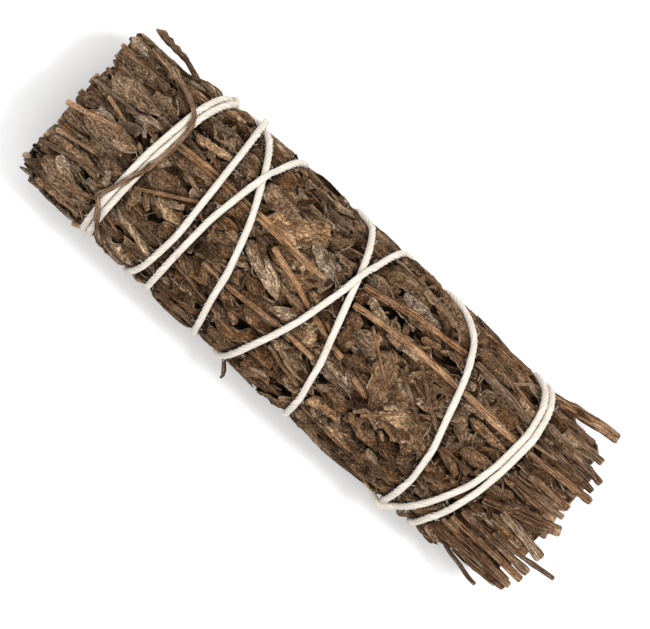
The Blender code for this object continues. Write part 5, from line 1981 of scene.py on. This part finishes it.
@dataclass
class CutEnds:
    """Leaves and stems packed end-on in one sector of the bunch, seen at its two cut ends."""

    shop: Workshop
    radii: Pair
    angles: Pair
    leaves: int
    rods: int
    seed: int
    # The depths that set the shade painted on the end leaves and on the end rods.
    depths: Pair = (0.35, 0.1)

    def build(self, name: str) -> list[Mesh]:
        """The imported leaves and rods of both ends.

        Args:
            name: The meshes' name.

        Returns:
            The meshes.
        """
        rng = random.Random(self.seed)
        choice = (self.shop.foliage.plain, self.shop.foliage.small)
        laid, paths = [], []
        for end in (-1, 1):
            for number in range(self.leaves):
                face, y, z = self._spot(rng, number, self.leaves, end)
                length = rng.uniform(5, 7) * MM
                middle = face + end * rng.uniform(-1.4, 0.5) * MM - end * length / 2
                turn = (rng.uniform(0, 6.28), rng.gauss(0, 0.1), rng.gauss(0, 0.1) + math.pi * (end > 0))
                size = (length, length * rng.uniform(0.6, 1.0), length * 0.8)
                laid.append(LaidLeaf((middle, y, z), turn, size, rng.randrange(*choice),
                                     rng.betavariate(2.2, 3.0), rng.gauss(0.5, 0.2)))
            for number in range(self.rods):
                face, y, z = self._spot(rng, number, self.rods, end)
                radius = (rng.uniform(0.7, 1.2) if end > 0 else rng.uniform(0.5, 0.95)) * MM
                tip = face + end * (rng.uniform(-1.0, 3.2) if end > 0 else rng.uniform(-0.4, 1.6)) * MM
                at = np.linspace(tip - end * 9 * MM, tip, 7)
                at = np.insert(at, -1, tip - end * 0.12 * MM)
                sway = 0.12 * MM * soft_wave(number + self.seed, at / (5 * MM))
                radii = np.append(np.full(len(at) - 1, radius), radius * 0.95)
                paths.append(Path(np.column_stack((at, y + sway, z - sway)), radii, rng.uniform(0.3, 0.75),
                                  rng.random()))
        meshes = [self.shop.leaves(name, laid, self.seed, flat=False), self.shop.stems(name, paths, sides=9)]
        # Each mesh gets its fixed depth, and so its painted shade.
        for mesh, depth in zip(meshes, self.depths):
            store(mesh, "depth", depth)
        return meshes

    def _spot(self, rng: random.Random, number: int, count: int, end: int) -> Triple:
        """A place in the sector, spread evenly, on the cut face.

        Args:
            rng: What chance is drawn from.
            number: The place's number.
            count: How many places there are.
            end: Which end, -1 or 1.

        Returns:
            The place in space.
        """
        bunch = self.shop.bunch
        (inner, outer), (first, last) = self.radii, self.angles
        radius = math.sqrt(inner**2 + (outer**2 - inner**2) * ((number + 0.5) / count))
        angle = first + (last - first) * ((number * GOLDEN + rng.uniform(-0.05, 0.05)) % 1.0)
        shorter = (bunch.stem_end - float(bunch.stem_reach(angle))) * (radius / bunch.bound) ** 2
        x, y, z = bunch.place(bunch.leafy_end if end < 0 else bunch.stem_end - shorter, angle, radius)
        return float(x), float(y), float(z)


@dataclass
class LeafyStem:
    """One of the twelve outer stems: its packed foliage, its leaves, its bare twigs and its cut ends."""

    shop: Workshop
    number: int
    inside: float = 9.7 * MM
    bed: float = -2.7 * MM
    stations: int = 72
    across: int = 10
    end_radii: Pair = (10.0 * MM, 13.0 * MM)
    end_leaves: int = 18
    end_rods: int = 4

    @property
    def node(self) -> str:
        """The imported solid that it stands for."""
        return f"leafy_stem_{self.number + 1:02d}"

    def core(self) -> Mesh:
        """The wedge of packed foliage under the leaves, with a crumbly outside."""
        bunch = self.shop.bunch
        rings = []
        reach = float(bunch.stem_reach(TURN * self.number / bunch.lanes))
        for x in np.linspace(bunch.leafy_end + 0.9 * MM, reach - 1.2 * MM, self.stations):
            start, end = (float(bunch.lane_edge(self.number + side, x)) for side in (0, 1))
            ring = []
            for angle in start + np.linspace(0, 1, self.across) * (end - start):
                at = Vector((x * 420, angle * 6.5, self.number))
                height = self.bed + 0.55 * MM * noise.noise(at) + 0.25 * MM * noise.noise(at * 2.7)
                ring.append(bunch.rolled(np.array((x, angle * bunch.bound, height))))
            ring += [bunch.place(x, start + share * (end - start), self.inside) for share in (1.0, 0.5, 0.0)]
            rings.append(ring)
        return self.shop.core(self.node + "_core", rings)

    def extras(self) -> list[Mesh]:
        """The stems that stand clear of the bunch, for the outer stem that they grow in."""
        meshes = []
        for name, (tone, warmth, sides, joint), stops in STANDING:
            middle = stops[len(stops) // 2]
            if int(self.shop.bunch.lane_of(middle[1] * MM, math.radians(middle[0]))) == self.number:
                path = self.standing(stops, tone, warmth)
                meshes.append(self.shop.stems(name, [path], sides=sides, Joint_Height=joint))
        return meshes

    def standing(self, stops: Sequence[Stop], tone: float, warmth: float) -> Path:
        """A stem through stops that stand clear of the bunch."""
        degrees, x, rise, radii = drawn_through(stops, 10, near_end=0.02)
        points = self.shop.bunch.raised(degrees, x, smoothed(rise, 9) + 0.12 * soft_wave(3.0, x / 6))
        return Path(points, radii * MM, tone, warmth)

    def build(self) -> Object:
        """The finished piece."""
        shop, foliage, bunch = self.shop, self.shop.foliage, self.shop.bunch
        at = np.array([leaf.at for leaf in foliage.laid])
        lanes = bunch.lane_of(at[:, 0], at[:, 1] / bunch.bound)
        laid = [leaf for leaf, lane in zip(foliage.laid, lanes) if lane == self.number]
        thick, fine = ([path for lane, path in paths if lane == self.number]
                       for paths in (foliage.paths, foliage.fine_paths))
        start = float(bunch.lane_edge(self.number, 0.0))
        angles = (start, start + TURN / bunch.lanes)
        ends = CutEnds(shop, self.end_radii, angles, self.end_leaves, self.end_rods, 300 + self.number)
        meshes = [self.core(), shop.leaves(self.node, laid, self.number, flat=True),
                  shop.stems(self.node, thick), shop.stems(self.node, fine, sides=6, Joint_Height=0.1),
                  *self.extras(), *ends.build(self.node)]
        return finished(f"sage_{self.node}", meshes, self.node)


@dataclass
class InnerStem:
    """A leafy stem inside the bunch, seen only at the two cut ends."""

    shop: Workshop
    node: str
    radii: Pair
    angles: Pair
    leaves: int
    rods: int
    seed: int

    def build(self) -> Object:
        """The finished piece."""
        bunch, (start, end), (inner, outer) = self.shop.bunch, self.angles, self.radii
        rings = []
        for x in np.linspace(bunch.leafy_end + 1.4 * MM, bunch.stem_end - 2.2 * MM, 4):
            spread = np.linspace(start, end, 6) if inner else np.linspace(start, end, 7)[:-1]
            ring = [bunch.place(x, angle, outer) for angle in spread]
            ring += [bunch.place(x, angle, inner) for angle in np.linspace(end, start, 3) if inner]
            rings.append(ring)
        ends = CutEnds(self.shop, (inner + 0.4 * MM, outer - 0.2 * MM), self.angles, self.leaves, self.rods,
                       self.seed)
        meshes = [self.shop.core(self.node, rings), *ends.build(self.node)]
        return finished(f"sage_{self.node}", meshes, self.node)


@dataclass
class BindingString:
    """The one length of cotton string, its knot and its two tails."""

    shop: Workshop
    route: StringRoute
    radius: float = 0.565 * MM
    knot_scale: float = 0.45 * MM

    def knot(self) -> Array:
        """The closed loop of an overhand knot, lying on the bunch."""
        centre, angle = self.shop.bunch.raised(*KNOT), math.radians(KNOT[0])
        along, side = np.array((1.0, 0, 0)), np.array((0, math.cos(angle), -math.sin(angle)))
        outward = np.array((0, math.sin(angle), math.cos(angle)))
        t = np.linspace(0, TURN, 60)[:, None]
        loop = (np.sin(t) + 2 * np.sin(2 * t)) * along + (np.cos(t) - 2 * np.cos(2 * t)) * side
        return centre + (loop - 1.1 * np.sin(3 * t) * outward) * self.knot_scale

    def tails(self) -> list[Array]:
        """The lines of the two free tails."""
        drawn = (drawn_through(stops, 8) for stops in TAILS)
        return [self.shop.bunch.raised(degrees, x, smoothed(rise, 9)) for degrees, x, rise in drawn]

    def build(self) -> Object:
        """The finished piece."""
        lines = [self.route.line(), self.knot(), *self.tails()]
        paths = [Path(line, np.full(len(line), self.radius), 0.5, 0.5) for line in lines]
        mesh = shaped(path_mesh("string_paths", paths), self.shop.trees.twine,
                      {"Finish": self.shop.finishes.cotton})
        keep_above(mesh, 0.0)
        return finished("cotton_string", [mesh], "binding_string")


@dataclass
class BentTwig:
    """The thin twig that is caught over the string, budded towards its tip."""

    shop: Workshop
    radius: float = 0.37 * MM

    def build(self) -> Object:
        """The finished piece."""
        degrees, x, rise = (smoothed(column, 5) for column in drawn_through(BENT_TWIG, 7))
        points = self.shop.bunch.raised(degrees, x, rise)
        share = np.linspace(0, 1, len(points))
        buds = 0.9 * np.maximum(0, soft_wave(2.0, share * 22)) * bell(share - 0.12, 0.09)
        radii = self.radius * (1.15 - 0.3 * share + buds)
        radii[0] *= 0.4
        radii[-1] *= 0.9
        mesh = self.shop.stems("bent_twig", [Path(points, radii, 0.52, 0.4)], Joint_Height=0.45,
                               Joint_Spacing=4.7 * MM, Roughness=1.3, Ridge_Depth=0.5)
        store(mesh, "depth", 0.0)
        return finished("caught_twig", [mesh], "bent_twig")


@dataclass
class Studio:
    """A plain pale floor, soft lights and the camera, which looks straight down on the bunch."""

    finishes: Finishes
    roll: float = math.radians(41.87)
    view_width: float = 102.375 * MM
    offset: Pair = (0.64575 * MM, -0.378 * MM)
    distance: float = 1.2
    look_height: float = 15 * MM
    floor_size: float = 8.0
    sensor: float = 36.0
    backlight: float = 0.5

    def floor(self) -> None:
        """The floor, which isn't part of the object."""
        half = self.floor_size / 2
        mesh = new_mesh("floor", [(-half, -half, 0), (half, -half, 0), (half, half, 0), (-half, half, 0)], (),
                        [(0, 1, 2, 3)])
        mesh.materials.append(self.finishes.floor)
        shown("floor", mesh)

    def light(self, name: str, at: Vector, size: float, power: float) -> None:
        """A soft lamp that faces the bunch.

        Args:
            name: The lamp's name.
            at: Its place.
            size: Its width.
            power: Its power in watts.
        """
        lamp = bpy.data.lights.new(name, "AREA")
        lamp.shape = "DISK"
        lamp.size = size
        lamp.energy = power
        holder = shown(name, lamp)
        holder.location = at
        facing = Vector((0, 0, self.look_height)) - at
        holder.rotation_euler = facing.to_track_quat("-Z", "Y").to_euler()

    def build(self) -> None:
        """Sets up floor, light and camera."""
        self.floor()
        right = Vector((math.cos(self.roll), math.sin(self.roll), 0))
        up = Vector((-math.sin(self.roll), math.cos(self.roll), 0))
        self.light("overhead", Vector((0.0, 0.0, 1.6)), 1.5, 19.0)
        self.light("key", right * 0.36 - up * 0.06 + Vector((0, 0, 0.94)), 0.2, 5.7)
        world = bpy.data.worlds.new("studio")
        world.use_nodes = True
        background = world.node_tree.nodes["Background"]
        background.inputs["Color"].default_value = (1.0, 1.0, 1.0, 1.0)
        background.inputs["Strength"].default_value = self.backlight
        bpy.context.scene.world = world
        bpy.context.scene.view_settings.view_transform = "Standard"
        camera = bpy.data.cameras.new("camera")
        camera.sensor_width = self.sensor
        camera.lens = self.sensor * self.distance / self.view_width
        camera.clip_start = 0.1
        camera.clip_end = 20.0
        place = right * self.offset[0] + up * self.offset[1] + Vector((0, 0, self.look_height + self.distance))
        holder = shown("camera", camera)
        rows = [(right[i], up[i], float(i == 2), place[i]) for i in range(3)]
        holder.matrix_world = Matrix((*rows, (0, 0, 0, 1)))
        bpy.context.scene.camera = holder


def report(piece: Object) -> None:
    """Logs a finished piece and its triangles."""
    piece.data.calc_loop_triangles()
    LOG.info("%s: %d triangles", piece.name, len(piece.data.loop_triangles))


def main() -> None:
    """Builds the bunch piece by piece."""
    logging.basicConfig(level=logging.INFO, format="%(name)s %(message)s")
    bunch = Bunch()
    route = StringRoute(bunch)
    foliage = Foliage(bunch, route)
    foliage.lay_out()
    LOG.info("laid %d leaves and %d stems", len(foliage.laid), len(foliage.paths))
    shop = Workshop(bunch, foliage, Trees(), Finishes(Effects()))
    for number in range(bunch.lanes):
        report(LeafyStem(shop, number).build())
    for number in range(6):
        angles = (math.pi * number / 3, math.pi * (number + 1) / 3)
        stem = InnerStem(shop, f"inner_stem_{number + 1}", (3.7 * MM, 9.3 * MM), angles, 20, 6, 400 + number)
        report(stem.build())
    report(InnerStem(shop, "middle_stem", (0.0, 3.2 * MM), (0.0, TURN), 8, 3, 420).build())
    report(BindingString(shop, route).build())
    report(BentTwig(shop).build())
    foliage.shapes.remove()
    Studio(shop.finishes).build()


if __name__ == "__main__":
    main()
